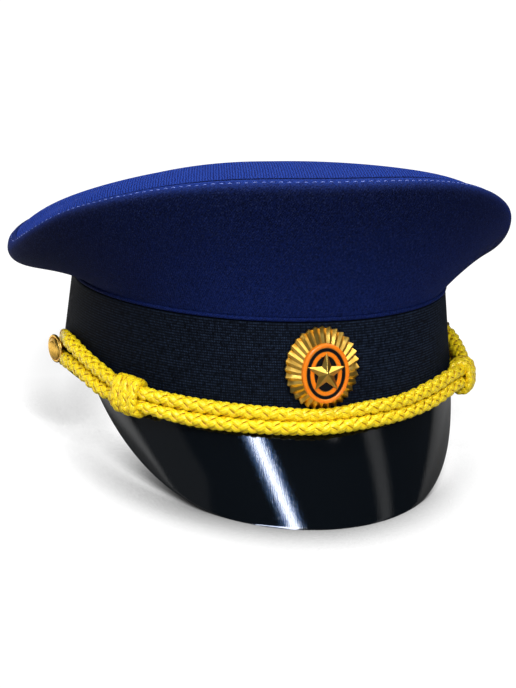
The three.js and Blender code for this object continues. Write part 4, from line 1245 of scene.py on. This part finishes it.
def makeFloor(shape):
    # one large square, which the stage's shader turns from paper with painted and real shade to white by the
    # distance from an oval
    mesh = bpy.data.meshes.new("paleFloor")
    half = shape["floorHalf"]
    mesh.from_pydata([(-half, -half, 0), (half, -half, 0), (half, half, 0), (-half, half, 0)], [],
                     [(0, 1, 2, 3)])
    material, tree, shader = newMaterial("matt white paper, uncoated")
    place = addNode(tree, "ShaderNodeTexCoord").outputs["Object"]
    moved = addNode(tree, "ShaderNodeVectorMath", {0: place, 1: shape["footMiddle"]}, operation="SUBTRACT")
    scaled = addNode(tree, "ShaderNodeVectorMath", {0: moved.outputs["Vector"],
                                                    1: (1 / shape["footWide"], 1 / shape["footLong"], 0)},
                     operation="MULTIPLY").outputs["Vector"]
    away = addNode(tree, "ShaderNodeVectorMath", {0: scaled}, operation="LENGTH").outputs["Value"]
    far = addNode(tree, "ShaderNodeMapRange", {"Value": away, "From Min": shape["fadeFrom"],
                                               "From Max": shape["fadeTo"], "To Min": shape["glowShare"]},
                  interpolation_type="SMOOTHSTEP")
    contact = addNode(tree, "ShaderNodeAmbientOcclusion", {"Distance": shape["contactReach"]}, samples=8)
    setShader(tree, shader, Base_Color=(shape["paper"],) * 3 + (1,), Roughness=0.9, Specular_IOR_Level=0.1)
    split = addNode(tree, "ShaderNodeSeparateXYZ", {"Vector": place})
    rightward = addNode(tree, "ShaderNodeMapRange", {"Value": split.outputs["X"],
                                                     "From Min": shape["rightFrom"],
                                                     "From Max": shape["rightTo"], "To Min": 1.0,
                                                     "To Max": shape["rightShade"]})
    rearward = addNode(tree, "ShaderNodeMapRange", {"Value": split.outputs["Y"], "From Min": shape["frontTo"],
                                                    "From Max": shape["rearFrom"],
                                                    "To Min": shape["frontShade"],
                                                    "To Max": shape["rearShade"]})
    depth = addNode(tree, "ShaderNodeMath", {0: rightward.outputs["Result"], 1: rearward.outputs["Result"]},
                    operation="MULTIPLY")
    # painted shadow: the white glow is dimmed by ambient occlusion, raised to a power that is greatest in
    # front and at the left
    shade = addNode(tree, "ShaderNodeMath", {0: contact.outputs["AO"], 1: depth.outputs["Value"]},
                    operation="POWER")
    glow = addNode(tree, "ShaderNodeEmission", {"Color": (shape["glow"],) * 3 + (1,),
                                                "Strength": shade.outputs["Value"]})
    paper = addNode(tree, "ShaderNodeMixShader", {0: far.outputs["Result"], 1: shader.outputs["BSDF"],
                                                  2: glow.outputs["Emission"]})
    rays = addNode(tree, "ShaderNodeLightPath")
    seen = rays.outputs["Is Camera Ray"]
    # painted reflection: where it is seen in reflections, the table is paler towards the left rear
    leftRear = addNode(tree, "ShaderNodeMath", {0: split.outputs["Y"], 1: split.outputs["X"]},
                       operation="SUBTRACT")
    mirrored = addNode(tree, "ShaderNodeMapRange", {"Value": leftRear.outputs["Value"],
                                                    "From Min": shape["mirrorFrom"],
                                                    "From Max": shape["mirrorTo"],
                                                    "To Min": shape["frontMirrored"],
                                                    "To Max": shape["rearMirrored"]})
    tone = addNode(tree, "ShaderNodeMix", {"Factor": rays.outputs["Is Glossy Ray"], "A": shape["table"],
                                           "B": mirrored.outputs["Result"]}, data_type="FLOAT")
    table = addNode(tree, "ShaderNodeBsdfDiffuse", {"Color": tone.outputs["Result"]})
    shown = addNode(tree, "ShaderNodeMixShader",
                    {0: seen, 1: table.outputs["BSDF"], 2: paper.outputs["Shader"]})
    tree.links.new(shown.outputs["Shader"], tree.nodes["Material Output"].inputs["Surface"])
    mesh.materials.append(material)
    floor = bpy.data.objects.new("paleFloor", mesh)
    bpy.context.scene.collection.objects.link(floor)


makeFloor(stageShape)

# Lights: where each stands round the cap in degrees and metres, its size in metres and its power in watts. A
# mirrored light only shows as a reflection, and a matt one only as light on cloth and cord.
lightRows = [
    dict(name="topBox", azimuth=170, elevation=78, distance=0.9, wide=0.6, tall=0.6, power=18.0, roll=0),
    dict(name="frontBox", azimuth=-2, elevation=42, distance=1.2, wide=0.5, tall=0.35, power=10.5, roll=0,
         matt=True),
    dict(name="leftBox", azimuth=-70, elevation=50, distance=1.1, wide=0.7, tall=0.7, power=7.0, roll=0,
         matt=True),
    dict(name="frontBar", azimuth=-20.5, elevation=37.1, distance=1.38, wide=0.8, tall=0.085, power=8.0,
         roll=-36, mirrored=True),
    dict(name="blueBar", azimuth=-20.5, elevation=37.1, distance=1.4, wide=0.8, tall=0.2, power=5.5, roll=-36,
         colour="#86b4ff", mirrored=True),
    dict(name="highPanel", azimuth=62, elevation=64, distance=1.2, wide=1.0, tall=0.8, power=6.5, roll=0,
         mirrored=True),
    dict(name="rightPanel", azimuth=61, elevation=26, distance=1.5, wide=0.22, tall=0.9, power=0.42, roll=0),
    dict(name="leftSheet", azimuth=-58, elevation=60, distance=1.3, wide=0.9, tall=0.6, power=0.8, roll=0,
         mirrored=True),
    dict(name="rearSheet", azimuth=-132, elevation=4, distance=1.5, wide=1.0, tall=0.8, power=1.6, roll=0,
         mirrored=True),
    dict(name="leftPanel", azimuth=-82, elevation=8, distance=1.5, wide=1.0, tall=0.6, power=0.3, roll=0),
]


lightAim = (0, 0, 0.07)  # the cap's middle, in metres


def placeLights(rows):
    # each light faces the cap's middle
    for row in rows:
        axes = facingAxes(row)
        data = bpy.data.lights.new(row["name"], "AREA")
        data.shape, data.size, data.size_y, data.energy = "RECTANGLE", row["wide"], row["tall"], row["power"]
        data.color = toLinear(row.get("colour", "#ffffff"))[:3]
        lamp = bpy.data.objects.new(row["name"], data)
        bpy.context.scene.collection.objects.link(lamp)
        lamp.visible_diffuse = not row.get("mirrored", False)
        lamp.visible_glossy = not row.get("matt", False)
        lamp.matrix_world = placement(axes, np.array(lightAim) + axes[2] * row["distance"])


placeLights(lightRows)

# Studio: white to the camera, and a dim cool light on the cap
studioShape = dict(shown=1.1, dimColour=(0.8, 0.93, 1.15, 1), dim=0.06)
studio = bpy.data.worlds.new("dimStudio")
studio.use_nodes = True
bpy.context.scene.world = studio
room = studio.node_tree
seen = addNode(room, "ShaderNodeLightPath").outputs["Is Camera Ray"]
shown = addNode(room, "ShaderNodeBackground", {"Color": (1, 1, 1, 1), "Strength": studioShape["shown"]})
dim = room.nodes["Background"]
dim.inputs["Color"].default_value = studioShape["dimColour"]
dim.inputs["Strength"].default_value = studioShape["dim"]
choice = addNode(room, "ShaderNodeMixShader",
                 {0: seen, 1: dim.outputs["Background"], 2: shown.outputs["Background"]})
room.links.new(choice.outputs["Shader"], room.nodes["World Output"].inputs["Surface"])
bpy.context.scene.view_settings.view_transform = "Standard"
print("stage set")
